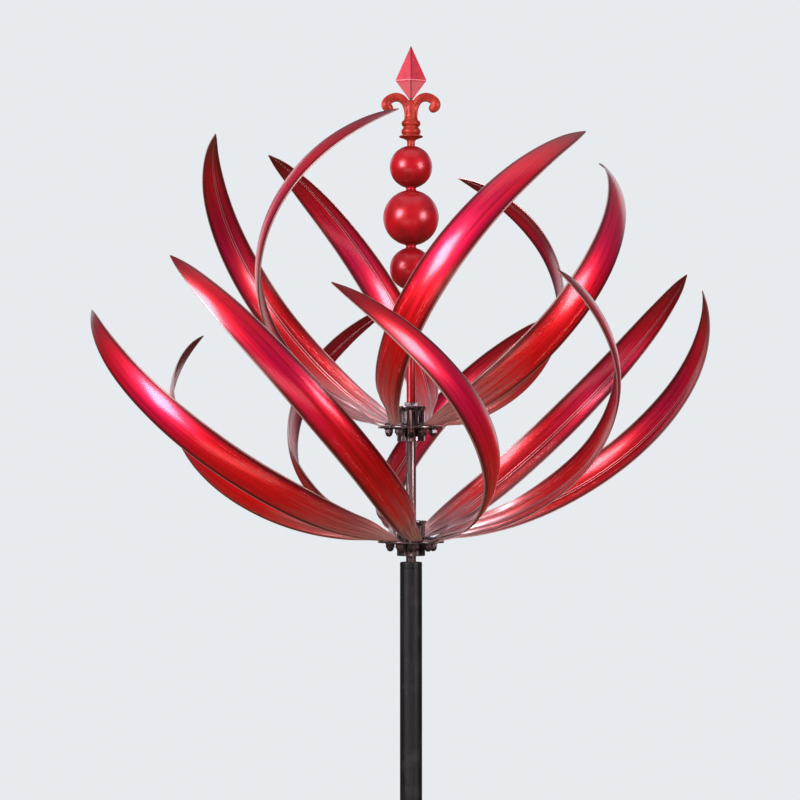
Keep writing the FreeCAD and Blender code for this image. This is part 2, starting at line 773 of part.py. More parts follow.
def petal_arc(rotor, reach):
    """The blade's arc: centre and radius in its plane, and the angles it runs between."""
    radius = size(f"{rotor}_arc_radius")
    centre_out = size(f"{rotor}_centre_out")
    start = -math.acos((size("arc_foot") - centre_out) / radius)
    end = math.radians(size(f"{rotor}_arc_end") + reach)
    return radius, centre_out, size(f"{rotor}_centre_up"), start, end


def facing(across, outward):
    """The attitude of a section: its width runs across, its rounded back faces outward."""
    return Rotation(across, outward, across.cross(outward), "ZXY")


def trough_points(place, attitude, half_width, depth, skin):
    """Points across one section of the blade, on its rounded back or its hollow front."""
    points = []
    for step in range(SECTION_POINTS):
        share = 2 * step / (SECTION_POINTS - 1) - 1
        out = skin - depth * share ** 2
        points.append(place + attitude.multVec(Vector(half_width * share, out, 0)))
    return points


def sheet_blade(sections):
    """A closed thin solid through the sections: back, front, two long edges, base and tip."""
    thick = size("sheet_thickness") / 2
    back = Part.BSplineSurface()
    back.interpolate([trough_points(*section, thick) for section in sections])
    front = Part.BSplineSurface()
    front.interpolate([trough_points(*section, -thick) for section in sections])
    faces = [back.toShape(), front.toShape()]
    back_ends = back.bounds()
    front_ends = front.bounds()
    for side in (0, 1):
        faces.append(Part.makeRuledSurface(back.uIso(back_ends[side]).toShape(),
                                           front.uIso(front_ends[side]).toShape()))
        faces.append(Part.makeRuledSurface(back.vIso(back_ends[side + 2]).toShape(),
                                           front.vIso(front_ends[side + 2]).toShape()))
    shell = Part.makeShell(faces)
    shell.sewShape()
    blade = Part.makeSolid(shell)
    if blade.Volume < 0:
        blade.reverse()
    return blade


def make_petal_shape(rotor, turn, rise, roll, reach):
    """One petal in its rotor's own frame, its tab flat on the plate and pointing along +X."""
    radius, centre_out, centre_up, start, end = petal_arc(rotor, reach)
    sweep = SWEEP[rotor]
    tilt = math.radians(size(f"{rotor}_tilt"))
    ahead = Vector(1, 0, 0)
    upward = Vector(0, math.cos(tilt) * sweep, math.sin(tilt))
    across = ahead.cross(upward)
    bolt = Vector(size("bolt_circle") / 2, 0, 0)
    foot = Vector(size("arc_foot"), 0, 0)
    hand = Rotation(Vector(0, 0, 1), turn) * Rotation(Vector(0, 1, 0), -rise) * Rotation(ahead, roll * sweep)
    sheet = size("sheet_thickness")
    half_tab = size(f"{rotor}_tab_width") / 2
    full_width = size(f"{rotor}_blade_width")
    full_depth = size(f"{rotor}_blade_depth")
    curl = (full_width ** 2 / 4 + full_depth ** 2) / (2 * full_depth)

    leaf = []
    for along, share in LEAF + [(1.0, size("tip_width") / full_width)]:
        angle = start + (end - start) * along
        outward = ahead * math.cos(angle) + upward * math.sin(angle)
        place = ahead * centre_out + upward * centre_up + outward * radius
        half_width = full_width * share / 2
        depth = curl - math.sqrt(curl ** 2 - half_width ** 2)
        attitude = hand * facing(across, outward)
        leaf.append((foot + hand.multVec(place - foot), attitude, half_width, depth))

    tab_end = Vector(size("tab_end"), 0, sheet / 2)
    flat = facing(Vector(0, -1, 0), Vector(0, 0, -1))
    first_place, first_attitude, first_half_width, first_depth = leaf[0]
    twist = ((tab_end + first_place) / 2, flat.slerp(first_attitude, 0.5), (half_tab + first_half_width) / 2,
             first_depth / 3)
    blade = sheet_blade([(tab_end, flat, half_tab, 0), twist] + leaf)

    tab = Part.makeBox(tab_end.x - bolt.x, half_tab * 2, sheet, Vector(bolt.x, -half_tab, 0))
    tab = tab.fuse(Part.makeCylinder(half_tab, sheet, bolt))
    hole = Part.makeCylinder(size("bolt_diameter") / 2, sheet, bolt)
    return blade.fuse(tab).cut(hole).removeSplitter()


for rotor, hub in HUBS.items():
    for index, hand_set in enumerate(HAND_SET[rotor]):
        petal = doc.addObject("Part::Feature", f"{rotor}_petal_{index + 1}")
        petal.Shape = make_petal_shape(rotor, *hand_set)
        petal.Placement = Placement(Vector(0, 0, evaluate(hub)),
                                    Rotation(Vector(0, 0, 1), petal_angle(rotor, index)))
        keep(petal, f"{rotor}_petal_{index + 1}")


# ---------------------------------------------------------------- ball stack

def ball_seat(diameter):
    """From a ball's centre to the flat where its collar sits."""
    return f"sqrt(({diameter} / 2) ^ 2 - (sizes.ball_seat_diameter / 2) ^ 2)"


def make_ball(label, diameter, centre):
    """A hollow spun ball with a flat seat and a hole for the rod at each pole."""
    name = label.replace("ball", "sphere")
    seat = ball_seat(diameter)
    skin = sphere(f"{name}_outside", diameter, centre)
    hollow = sphere(f"{name}_inside", f"({diameter} - 2 * sizes.ball_wall)", centre)
    shell = cut(f"{name}_shell", skin, hollow)
    span = cylinder(f"{name}_span", diameter, f"2 * {seat}", f"{centre} - {seat}")
    bore = cylinder(f"{name}_bore", "sizes.rod_diameter", f"{diameter} + 2", f"{centre} - {diameter} / 2 - 1")
    return cut(label, common(f"{name}_flats", shell, span), bore)


SMALL = "sizes.small_ball_diameter"
LARGE = "sizes.large_ball_diameter"

keep(make_ball("lower_ball", SMALL, LOWER_BALL), "lower_ball")
keep(make_ball("middle_ball", LARGE, MIDDLE_BALL), "middle_ball")
keep(make_ball("top_ball", SMALL, TOP_BALL), "top_ball")

collars = []
for index, (under, under_size, over, over_size) in enumerate((
        (LOWER_BALL, SMALL, MIDDLE_BALL, LARGE), (MIDDLE_BALL, LARGE, TOP_BALL, SMALL))):
    foot = f"({under} + {ball_seat(under_size)})"
    top = f"({over} - {ball_seat(over_size)})"
    collars.append(tube(f"ball_collar_{index}", "sizes.ball_seat_diameter", "sizes.rod_diameter",
                        f"{top} - {foot}", foot))
keep(group("ball_collars", collars), "ball_collars")

keep(turned("finial_rod", [
    ("0", f"{ROD_FOOT} + sizes.stud_length"),
    (half("stud_diameter"), f"{ROD_FOOT} + sizes.stud_length"),
    (half("stud_diameter"), ROD_FOOT),
    (half("rod_diameter"), ROD_FOOT),
    (half("rod_diameter"), TOP_BALL_SEAT),
    (half("stud_diameter"), TOP_BALL_SEAT),
    (half("stud_diameter"), f"{TOP_BALL_SEAT} + sizes.stud_length"),
    ("0", f"{TOP_BALL_SEAT} + sizes.stud_length"),
]), "finial_rod")


# ---------------------------------------------------------------- finial

def make_finial_base():
    """Neck, flange and beaded waist, threaded inside for the rod's stud."""
    neck = cylinder("finial_neck", "sizes.finial_neck_diameter", "sizes.finial_neck_length", TOP_BALL_SEAT)
    flare = cone("finial_flare", "sizes.finial_neck_diameter", "sizes.finial_flange_diameter - 2",
                 "sizes.finial_neck_length / 3", f"{FLANGE_FOOT} - sizes.finial_neck_length / 3")
    flange = cylinder("finial_flange", "sizes.finial_flange_diameter", "sizes.finial_flange_thickness",
                      FLANGE_FOOT)
    waist = cylinder("finial_waist", "sizes.finial_waist_diameter", "sizes.finial_waist_length", WAIST_FOOT)
    beads = []
    for index, share in enumerate((0.22, 0.68)):
        bead = add("Part::Torus", f"finial_bead_{index}", Radius1="sizes.finial_bead_circle / 2",
                   Radius2="sizes.finial_bead_diameter / 2")
        beads.append(lift(bead, f"{WAIST_FOOT} + sizes.finial_waist_length * {share}"))
    blank = fuse("finial_base_blank", neck, flare, flange, waist, *beads)
    thread = cylinder("finial_thread", "sizes.stud_diameter", "sizes.stud_length", TOP_BALL_SEAT)
    return cut("finial_base", blank, thread)


def make_scrolls():
    """The stem that splits into two arms, each curling over and down to a rounded end."""
    stem = cone("scroll_stem", "sizes.scroll_stem_diameter", "sizes.scroll_stem_diameter",
                "sizes.scroll_stem_length", SCROLL_FOOT)
    head_foot = f"({SCROLL_FOOT} + sizes.scroll_stem_length)"
    head = cone("scroll_head", "sizes.scroll_stem_diameter", "sizes.scroll_head_diameter",
                "sizes.scroll_head_length", head_foot)
    pieces = [stem, head]
    arc_height = f"({head_foot} - 2)"
    for name, side in (("left", -1), ("right", 1)):
        arm = add("Part::Torus", f"scroll_{name}_arm", Radius1="sizes.scroll_arc_radius",
                  Radius2="sizes.scroll_arm_diameter / 2", Angle3="180")
        arm.Placement = Placement(Vector(), Rotation(Vector(1, 0, 0), 90))
        pieces.append(lift(arm, arc_height, f"{side} * sizes.scroll_arm_offset"))
        pieces.append(sphere(f"scroll_{name}_curl", "sizes.scroll_curl_diameter", arc_height,
                             f"{side} * (sizes.scroll_arm_offset + sizes.scroll_arc_radius)"))
    blank = fuse("scroll_blank", *pieces)
    seat = make_diamond_shape("scroll_seat")
    return cut("finial_scrolls", blank, seat)


def rhombus(name, width, height):
    """A level four-cornered outline, wider than it is deep, with one corner facing the front."""
    depth = f"{width} * sizes.diamond_depth / sizes.diamond_width"
    reach = evaluate(width) / 2
    swell = evaluate(depth) / 2
    corners = [Vector(reach, 0), Vector(0, swell), Vector(-reach, 0), Vector(0, -swell)]
    outline = doc.addObject("Sketcher::SketchObject", name)
    for index in range(4):
        outline.addGeometry(Part.LineSegment(corners[index], corners[(index + 1) % 4]), False)
    for index in range(4):
        outline.addConstraint(Sketcher.Constraint("Coincident", index, 2, (index + 1) % 4, 1))
    for corner, axis in ((0, -1), (1, -2)):
        outline.addConstraint(Sketcher.Constraint("PointOnObject", corner, 1, axis))
        outline.addConstraint(Sketcher.Constraint("Symmetric", corner, 1, corner + 2, 1, -1, 1))
    bind_distance(outline, "DistanceX", 0, "reach", reach, f"{width} / 2")
    bind_distance(outline, "DistanceY", 1, "swell", swell, f"{depth} / 2")
    return lift(outline, height)


def make_diamond_shape(name):
    """Two flattened four-sided pyramids, base to base, with a narrow belt between."""
    waist = f"({DIAMOND_FOOT} + sizes.diamond_lower)"
    belt_top = f"({waist} + sizes.diamond_belt)"
    levels = [
        rhombus(f"{name}_foot", "sizes.diamond_foot_width", DIAMOND_FOOT),
        rhombus(f"{name}_waist", "sizes.diamond_width", waist),
        rhombus(f"{name}_belt", "sizes.diamond_width", belt_top),
        rhombus(f"{name}_tip", "sizes.diamond_tip_width", f"{belt_top} + sizes.diamond_upper"),
    ]
    solid = doc.addObject("Part::Loft", name)
    solid.Sections = levels
    solid.Solid = True
    solid.Ruled = True
    return solid


keep(make_finial_base(), "finial_base")
keep(make_scrolls(), "finial_scrolls")
keep(make_diamond_shape("finial_diamond"), "finial_diamond")


# ---------------------------------------------------------------- check and write

doc.recompute()

broken = [piece.Name for piece in doc.Objects if "Invalid" in piece.State or "Error" in piece.State]
if broken:
    raise RuntimeError(f"did not build: {broken}")

for piece in NODES:
    if piece.Shape.isNull() or not piece.Shape.isValid() or not piece.Shape.Solids:
        raise RuntimeError(f"{piece.Label} has no valid solid")

for piece in NODES:
    piece.Shape.exportStep(f"parts/{piece.Label}.step")
    print(f"{piece.Label}: {len(piece.Shape.Solids)} solids, {piece.Shape.Volume / 1000:.2f} cm3")
print(f"{len(NODES)} nodes")
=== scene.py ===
from math import acos, cos, degrees, pi, radians, sin, sqrt

import bmesh
import bpy
import numpy as np
from mathutils import Matrix, Vector


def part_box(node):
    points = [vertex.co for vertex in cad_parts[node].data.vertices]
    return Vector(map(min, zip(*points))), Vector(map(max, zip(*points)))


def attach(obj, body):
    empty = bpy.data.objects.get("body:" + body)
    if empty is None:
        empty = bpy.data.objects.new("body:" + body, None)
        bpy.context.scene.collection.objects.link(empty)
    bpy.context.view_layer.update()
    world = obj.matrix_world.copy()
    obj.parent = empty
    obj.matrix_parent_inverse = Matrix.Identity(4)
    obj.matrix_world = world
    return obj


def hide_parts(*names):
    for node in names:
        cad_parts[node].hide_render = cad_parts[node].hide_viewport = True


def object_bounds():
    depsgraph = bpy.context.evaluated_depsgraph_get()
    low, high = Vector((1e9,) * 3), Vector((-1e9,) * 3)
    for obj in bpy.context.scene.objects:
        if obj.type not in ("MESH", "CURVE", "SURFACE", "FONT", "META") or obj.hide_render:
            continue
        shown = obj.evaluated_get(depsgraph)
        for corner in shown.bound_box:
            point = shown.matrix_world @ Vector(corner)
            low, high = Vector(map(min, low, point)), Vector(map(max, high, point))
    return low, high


# Kinetic wind sculpture: the looks of two counter-spinning bowls of candy-red petals, a stack of three
# balls under a cast finial, black hubs and a black sectioned pole on a pronged stake.
# Lengths below are in millimetres and turn into metres where a mesh is made.

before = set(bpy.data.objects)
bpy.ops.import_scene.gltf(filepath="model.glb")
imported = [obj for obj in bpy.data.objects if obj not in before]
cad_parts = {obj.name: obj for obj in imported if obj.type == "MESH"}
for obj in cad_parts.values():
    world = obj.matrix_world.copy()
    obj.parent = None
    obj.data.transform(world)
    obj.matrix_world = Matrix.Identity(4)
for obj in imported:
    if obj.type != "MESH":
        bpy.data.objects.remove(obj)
cad_low, cad_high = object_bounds()
MM = 0.001
SHARP_ANGLE = radians(38)


# ---------------- camera, light and floor

# A fitting program matched the camera to the photo and gave its place, pitch and lens.
CAMERA_PLACE = (-0.0110, -2.3212, 1.4883)
CAMERA_PITCH_DEG = 1.506
CAMERA_LENS = 104.68
CAMERA_SENSOR = 36
CAMERA_FAR = 200


def make_camera():
    data = bpy.data.cameras.new("camera")
    data.lens = CAMERA_LENS
    data.sensor_width = CAMERA_SENSOR
    data.clip_end = CAMERA_FAR
    camera = bpy.data.objects.new("camera", data)
    camera.location = CAMERA_PLACE
    camera.rotation_euler = (radians(90 + CAMERA_PITCH_DEG), 0, 0)
    bpy.context.scene.collection.objects.link(camera)
    bpy.context.scene.camera = camera


def make_softbox(name, place, target, width, height, power, colour):
    data = bpy.data.lights.new(name, "AREA")
    data.shape = "RECTANGLE"
    data.size = width
    data.size_y = height
    data.energy = power
    data.color = colour
    light = bpy.data.objects.new(name, data)
    light.location = place
    light.rotation_mode = "QUATERNION"
    light.rotation_quaternion = (Vector(target) - Vector(place)).to_track_quat("-Z", "Y")
    light.visible_camera = False
    bpy.context.scene.collection.objects.link(light)


# Each light's name, place and target in metres, width, height, power in watts, and colour.
HEART = (0, 0, 1.6)
SOFTBOXES = [
    ("key_softbox", (-2.1, -1.85, 2.3), HEART, 1.1, 1.2, 122, (1.0, 0.84, 1.0)),
    ("fill_softbox", (2.2, -1.75, 2.0), HEART, 1.0, 1.1, 74, (1.0, 0.84, 0.98)),
    ("top_softbox", (0, -0.3, 4.4), HEART, 3.0, 3.0, 22, (0.93, 0.96, 1.0)),
    ("left_back_softbox", (-1.6, 2.7, 2.3), HEART, 1.6, 1.6, 8, (0.95, 0.97, 1.0)),
    ("right_back_softbox", (1.6, 2.7, 2.3), HEART, 1.6, 1.6, 8, (0.95, 0.97, 1.0)),
    ("low_softbox", (-0.4, -2.6, 0.6), (0, 0, 1.45), 3.0, 0.8, 15, (1.0, 0.88, 0.82)),
]


# What polished metal sees round it, from straight down to straight up.
SURROUNDINGS = [
    (0.00, (0.22, 0.12, 0.07)),
    (0.36, (0.14, 0.07, 0.045)),
    (0.47, (0.03, 0.02, 0.02)),
    (0.53, (0.03, 0.03, 0.04)),
    (0.68, (0.10, 0.12, 0.17)),
    (1.00, (0.30, 0.34, 0.44)),
]
BACKDROP = (0.80, 0.83, 0.86)

FLOOR_RADIUS = 6000
FLOOR_THICKNESS = 4
FLOOR_GAP = 0.5
FLOOR_FADE = (1.0, 4.5)


def make_world():
    """A pale plain backdrop; reflections see soft sky above, a darker horizon and warm ground."""
    world = bpy.data.worlds.new("studio")
    world.use_nodes = True
    bpy.context.scene.world = world
    tree = world.node_tree
    tree.nodes.clear()
    direction = add_node(tree, "TexCoord").outputs["Generated"]
    height = shares(tree, split(tree, direction)["Z"], -1, 1, 0, 1)
    reflected = add_node(tree, "Background", {"Color": ramp(tree, height, SURROUNDINGS)})
    seen = add_node(tree, "Background", {"Color": BACKDROP})
    camera_ray = add_node(tree, "LightPath").outputs["Is Camera Ray"]
    chosen = add_node(tree, "MixShader", {0: camera_ray, 1: reflected.outputs[0], 2: seen.outputs[0]})
    add_node(tree, "OutputWorld", {0: chosen.outputs[0]})


def make_floor():
    """A round pale floor under the stake's points that fades into the backdrop."""
    shape = turned([(0, -FLOOR_THICKNESS), (FLOOR_RADIUS, -FLOOR_THICKNESS), (FLOOR_RADIUS, 0), (0, 0)])
    material, tree, paint = start_material("floor_pale")
    place = object_place(tree)
    reach = add_node(tree, "VectorMath", {0: place}, operation="LENGTH").outputs["Value"]
    grain = noise(tree, place, 30, 4, 0.6)
    colour = blend(tree, spread(tree, grain, 0, 1), (0.36, 0.40, 0.37), (0.39, 0.43, 0.40))
    feed(tree, paint.inputs["Base Color"], colour)
    paint.inputs["Roughness"].default_value = 0.9
    clear = add_node(tree, "BsdfTransparent")
    fade = shares(tree, reach, *FLOOR_FADE, 0, 1, smooth=True)
    mixed = add_node(tree, "MixShader", {0: fade, 1: paint.outputs[0], 2: clear.outputs[0]})
    tree.links.new(mixed.outputs[0], tree.nodes["Material Output"].inputs[0])
    floor = mesh_object("studio_floor", shape, material)
    floor.location.z = cad_low.z - FLOOR_GAP * MM
    floor.visible_glossy = False


# ---------------- node helpers

def feed(tree, socket, value):
    """Plug an output into a socket, or set the socket to a number or a colour."""
    if isinstance(value, bpy.types.NodeSocket):
        tree.links.new(value, socket)
    elif isinstance(value, tuple) and len(value) == 3 and len(socket.default_value) == 4:
        socket.default_value = (*value, 1)
    else:
        socket.default_value = value


def add_node(tree, kind, inputs=None, **settings):
    """A new shader node with its settings, and its inputs set or plugged in."""
    node = tree.nodes.new(f"ShaderNode{kind}")
    for name, value in settings.items():
        setattr(node, name, value)
    for socket, value in (inputs or {}).items():
        feed(tree, node.inputs[socket], value)
    return node


def start_material(name):
    material = bpy.data.materials.new(name)
    material.use_nodes = True
    tree = material.node_tree
    return material, tree, tree.nodes["Principled BSDF"]


def finish_paint(tree, paint, colour, roughness, metallic, specular, coat, relief):
    """Sets the shader. The coat is its weight and roughness, the relief its height, strength and distance."""
    height, strength, distance = relief
    bump = add_node(tree, "Bump", {"Strength": strength, "Distance": distance, "Height": height})
    values = {"Base Color": colour, "Roughness": roughness, "Metallic": metallic,
              "Specular IOR Level": specular, "Coat Weight": coat[0], "Coat Roughness": coat[1],
              "Normal": bump.outputs[0]}
    for socket, value in values.items():
        feed(tree, paint.inputs[socket], value)


def attribute(tree, name):
    return add_node(tree, "Attribute", attribute_name=name).outputs["Fac"]


def calc(tree, operation, first, second=0.0, clamp=False):
    return add_node(tree, "Math", {0: first, 1: second}, operation=operation, use_clamp=clamp).outputs[0]


def times(tree, first, second):
    return calc(tree, "MULTIPLY", first, second)


def plus(tree, first, second, clamp=False):
    return calc(tree, "ADD", first, second, clamp)


def shares(tree, value, low, high, to_low, to_high, smooth=False):
    """How far the value is from low to high, as a number from to_low to to_high."""
    inputs = {"Value": value, "From Min": low, "From Max": high, "To Min": to_low, "To Max": to_high}
    kind = "SMOOTHSTEP" if smooth else "LINEAR"
    return add_node(tree, "MapRange", inputs, interpolation_type=kind).outputs[0]


def spread(tree, value, to_low, to_high):
    """A noise's usual range, 0.3 to 0.7, stretched to the given one."""
    return shares(tree, value, 0.3, 0.7, to_low, to_high)


def band(tree, value, centre, half_width):
    """1 on a thin line where the value is near the centre, fading to 0 at half_width."""
    away = calc(tree, "ABSOLUTE", calc(tree, "SUBTRACT", value, centre))
    return shares(tree, away, 0, half_width, 1, 0, smooth=True)


def within(tree, value, low, high, soft):
    """1 between two values, fading to 0 over `soft` outside them."""
    rise = shares(tree, value, low - soft, low, 0, 1)
    fall = shares(tree, value, high, high + soft, 1, 0)
    return times(tree, rise, fall)


def blend(tree, factor, first, second, kind="MIX"):
    inputs = {0: factor, 6: first, 7: second}
    return add_node(tree, "Mix", inputs, data_type="RGBA", blend_type=kind).outputs[2]


def ramp(tree, factor, stops):
    node = add_node(tree, "ValToRGB", {0: factor})
    elements = node.color_ramp.elements
    while len(elements) < len(stops):
        elements.new(0.5)
    for element, (position, colour) in zip(elements, stops):
        element.position = position
        element.color = (*colour, 1)
    return node.outputs[0]


def noise(tree, vector, scale, detail, roughness):
    inputs = {"Vector": vector, "Scale": scale, "Detail": detail, "Roughness": roughness}
    return add_node(tree, "TexNoise", inputs).outputs[0]


def stretched(tree, vector, stretch):
    return add_node(tree, "VectorMath", {0: vector, 1: stretch}, operation="MULTIPLY").outputs[0]


def joined(tree, x, y, z):
    return add_node(tree, "CombineXYZ", {0: x, 1: y, 2: z}).outputs[0]


def split(tree, vector):
    """The X, Y and Z of a vector."""
    return add_node(tree, "SeparateXYZ", {0: vector}).outputs


def object_place(tree):
    return add_node(tree, "TexCoord").outputs["Object"]


def edge_height(tree):
    """Above 0.5 on the outer edges of a piece, below it in the hollows."""
    return add_node(tree, "NewGeometry").outputs["Pointiness"]


# ---------------- materials

CREAM_EDGE = (0.56, 0.34, 0.27)

# The paint's colour from a petal's bolted end to its tip, with painted light in it: the pale salmon foot is
# worn paint with a painted reflection of the ground in it, and the magenta band past the middle is a painted
# sheen where the highlights fall.
PETAL_PAINT_AND_SHEEN_LENGTHWAYS = [
    (0.00, (0.95, 0.60, 0.54)),
    (0.08, (0.88, 0.40, 0.36)),
    (0.17, (0.74, 0.100, 0.090)),
    (0.28, (0.70, 0.004, 0.005)),
    (0.47, (0.68, 0.002, 0.008)),
    (0.64, (0.58, 0.002, 0.050)),
    (0.83, (0.58, 0.004, 0.014)),
    (1.00, (0.10, 0.009, 0.007)),
]

# Where the creases run at a petal's bolted end, as shares of its half width.
CREASES = (-0.62, -0.25, 0.16, 0.55)
RIDGE_BESIDE = 0.11
# Pale pink for painted highlights beside the foot creases and painted reflections on the hollow side's lines,
# and for pale flecks.
PALE_SHEEN_AND_FLECKS = (0.74, 0.40, 0.36)
# Dark red-brown for painted shade in the foot creases, on the hollow side's dark lines and along each petal's
# sides.
PAINTED_SHADE_RED = (0.085, 0.006, 0.008)
STREAK_SHADES = [(0.30, (0.55, 0.50, 0.55)), (0.50, (1.0, 1.0, 1.0)), (0.72, (1.20, 1.20, 1.15))]

# What each point of a petal's mesh is marked with: its share along and across the sheet, 1 on the
# hollow side, 1 on the rim, and a number that differs between most sheets.
PETAL_MARKS = ("along", "across", "hollow", "rim", "sheet")
SHEET_APART = 1.37
HOLLOW_APART = 7.3


def sheet_noise(tree, marks, lengthways, crossways, scale, detail, roughness):
    """Noise laid along and across a petal, different on its two sides."""
    side = plus(tree, times(tree, marks["hollow"], HOLLOW_APART), marks["sheet"])
    along = times(tree, marks["along"], lengthways)
    place = joined(tree, along, times(tree, marks["across"], crossways), side)
    return noise(tree, place, scale, detail, roughness)


def hollow_lines(tree, marks):
    """Lines along the hollow side: painted shade where they are dark, and a painted reflection where they are
    pale.
    """
    path = plus(tree, marks["across"], shares(tree, marks["along"], 0, 1, 0.16, -0.12))
    dark = plus(tree, band(tree, path, 0.20, 0.05), band(tree, path, 0.36, 0.09), True)
    pale = plus(tree, band(tree, path, 0.16, 0.034), band(tree, path, 0.30, 0.026), True)
    return dark, pale


def foot_creases(tree, marks, streaks):
    """Painted shade in the creases at the bolted end, and a painted highlight on the ridge beside each."""
    near_foot = shares(tree, marks["along"], 0.03, 0.27, 1.0, 0.0, smooth=True)
    path = plus(tree, marks["across"], spread(tree, streaks, -0.12, 0.12))
    creases = 0.0
    ridge_highlight = 0.0
    for place in CREASES:
        creases = calc(tree, "MAXIMUM", band(tree, path, place, 0.070), creases)
        ridge_highlight = calc(tree, "MAXIMUM", band(tree, path, place + RIDGE_BESIDE, 0.060), ridge_highlight)
    return times(tree, creases, near_foot), times(tree, ridge_highlight, near_foot)


def crinkled_patches(tree, marks, from_middle, streaks):
    """1 in patches between the middle and the edges, on the lower half of a petal."""
    beside_middle = within(tree, from_middle, 0.48, 0.74, 0.10)
    lower_half = within(tree, marks["along"], 0.14, 0.44, 0.05)
    return times(tree, times(tree, beside_middle, lower_half), shares(tree, streaks, 0.51, 0.58, 0, 1))


def make_petal_paint():
    """Metallic candy red under clear lacquer: lengthwise streaks, bare-looking edges, creased feet with
    painted shade and highlights, a painted reflection in the pale feet and painted shade on the sides.
    """
    material, tree, paint = start_material("petal_candy_red")
    marks = {name: attribute(tree, name) for name in PETAL_MARKS}
    along = marks["along"]
    hollow = marks["hollow"]
    streaks = sheet_noise(tree, marks, 3.2, 7.0, 1.0, 5.0, 0.62)
    fine = sheet_noise(tree, marks, 9.0, 34.0, 1.0, 3.0, 0.6)
    dents = sheet_noise(tree, marks, 9.0, 1.8, 1.3, 3.0, 0.55)
    crinkle = sheet_noise(tree, marks, 27.0, 6.0, 1.0, 4.0, 0.7)
    hollow_line_shade, hollow_groove_sheen = hollow_lines(tree, marks)
    creases, ridge_highlight = foot_creases(tree, marks, streaks)
    from_middle = calc(tree, "ABSOLUTE", marks["across"])
    crinkled = crinkled_patches(tree, marks, from_middle, streaks)

    colour = ramp(tree, plus(tree, along, spread(tree, streaks, -0.10, 0.10)), PETAL_PAINT_AND_SHEEN_LENGTHWAYS)
    colour = blend(tree, 1.0, colour, ramp(tree, streaks, STREAK_SHADES), "MULTIPLY")
    inner = blend(tree, 1.0, colour, (0.78, 0.90, 0.90), "MULTIPLY")
    inner = blend(tree, shares(tree, fine, 0.56, 0.74, 0, 0.32), inner, (0.58, 0.14, 0.13))
    # Painted shade on the dark lines and painted reflections on the pale lines of the hollow side; the pale
    # lines also sit in a shallow groove.
    inner = blend(tree, times(tree, hollow_line_shade, 0.8), inner, PAINTED_SHADE_RED)
    inner = blend(tree, times(tree, hollow_groove_sheen, 0.75), inner, PALE_SHEEN_AND_FLECKS)
    colour = blend(tree, hollow, colour, inner)
    # Painted highlights on the ridges beside the foot creases, and painted shade in the creases.
    colour = blend(tree, times(tree, ridge_highlight, 0.6), colour, PALE_SHEEN_AND_FLECKS)
    colour = blend(tree, times(tree, creases, 0.62), colour, PAINTED_SHADE_RED)
    flecks = times(tree, band(tree, crinkle, 0.52, 0.030), crinkled)
    colour = blend(tree, times(tree, flecks, 0.75), colour, PALE_SHEEN_AND_FLECKS)

    # Painted shade: each petal darker towards its two long edges.
    uneven_middle = plus(tree, from_middle, spread(tree, streaks, -0.07, 0.07))
    painted_side_shade = shares(tree, uneven_middle, 0.62, 0.92, 0, 0.92, smooth=True)
    painted_side_shade = times(tree, painted_side_shade, shares(tree, along, 0.06, 0.22, 0.35, 1))
    colour = blend(tree, painted_side_shade, colour, PAINTED_SHADE_RED)
    near_edge = shares(tree, from_middle, 0.945, 0.965, 0, 1)
    pale_marks = times(tree, near_edge, shares(tree, fine, 0.35, 0.60, 0.25, 1))
    colour = blend(tree, calc(tree, "MAXIMUM", pale_marks, marks["rim"]), colour, CREAM_EDGE)

    relief = times(tree, dents, shares(tree, along, 0.02, 0.42, 0.5, 0.03, smooth=True))
    relief = plus(tree, relief, times(tree, fine, 0.06))
    relief = calc(tree, "SUBTRACT", relief, times(tree, creases, 0.5))
    relief = plus(tree, relief, times(tree, times(tree, crinkle, crinkled), 0.5))
    relief = calc(tree, "SUBTRACT", relief, times(tree, times(tree, hollow_groove_sheen, hollow), 0.25))
    finish_paint(tree, paint, colour, spread(tree, streaks, 0.34, 0.44), metallic=0.65, specular=0.2,
                 coat=(0.7, 0.21), relief=(relief, 0.55, 0.0016))
    return material


def make_ball_paint():
    """Gloss red with painted shade, darker and browner underneath and darker on top, and a faint pale seam
    round the top of each ball.
    """
    material, tree, paint = start_material("ball_gloss_red")
    place = object_place(tree)
    cloud = noise(tree, place, 55, 4, 0.6)
    peel = noise(tree, place, 900, 2, 0.5)
    colour = ramp(tree, cloud, [(0.30, (0.28, 0.001, 0.004)), (0.55, (0.40, 0.002, 0.006)),
                                (0.75, (0.46, 0.004, 0.010))])
    facing = split(tree, add_node(tree, "TexCoord").outputs["Normal"])["Z"]
    upward = plus(tree, facing, spread(tree, cloud, -0.12, 0.12))
    # Painted shade on the underside of each ball.
    below = shares(tree, upward, -0.98, -0.30, 0.80, 0, smooth=True)
    colour = blend(tree, below, colour, (0.13, 0.008, 0.005))
    # Painted shade on the top of each ball.
    above = shares(tree, upward, 0.40, 0.97, 0, 0.45, smooth=True)
    colour = blend(tree, above, colour, (0.22, 0.004, 0.006))
    seam = times(tree, band(tree, facing, SEAM_HEIGHT, 0.025),
                shares(tree, cloud, 0.42, 0.60, 0.1, 0.5))
    colour = blend(tree, seam, colour, (0.70, 0.26, 0.22))
    finish_paint(tree, paint, colour, spread(tree, cloud, 0.36, 0.48), metallic=0.2, specular=0.15,
                 coat=(0.6, 0.26), relief=(plus(tree, times(tree, peel, 0.25), cloud), 0.25, 0.0006))
    return material


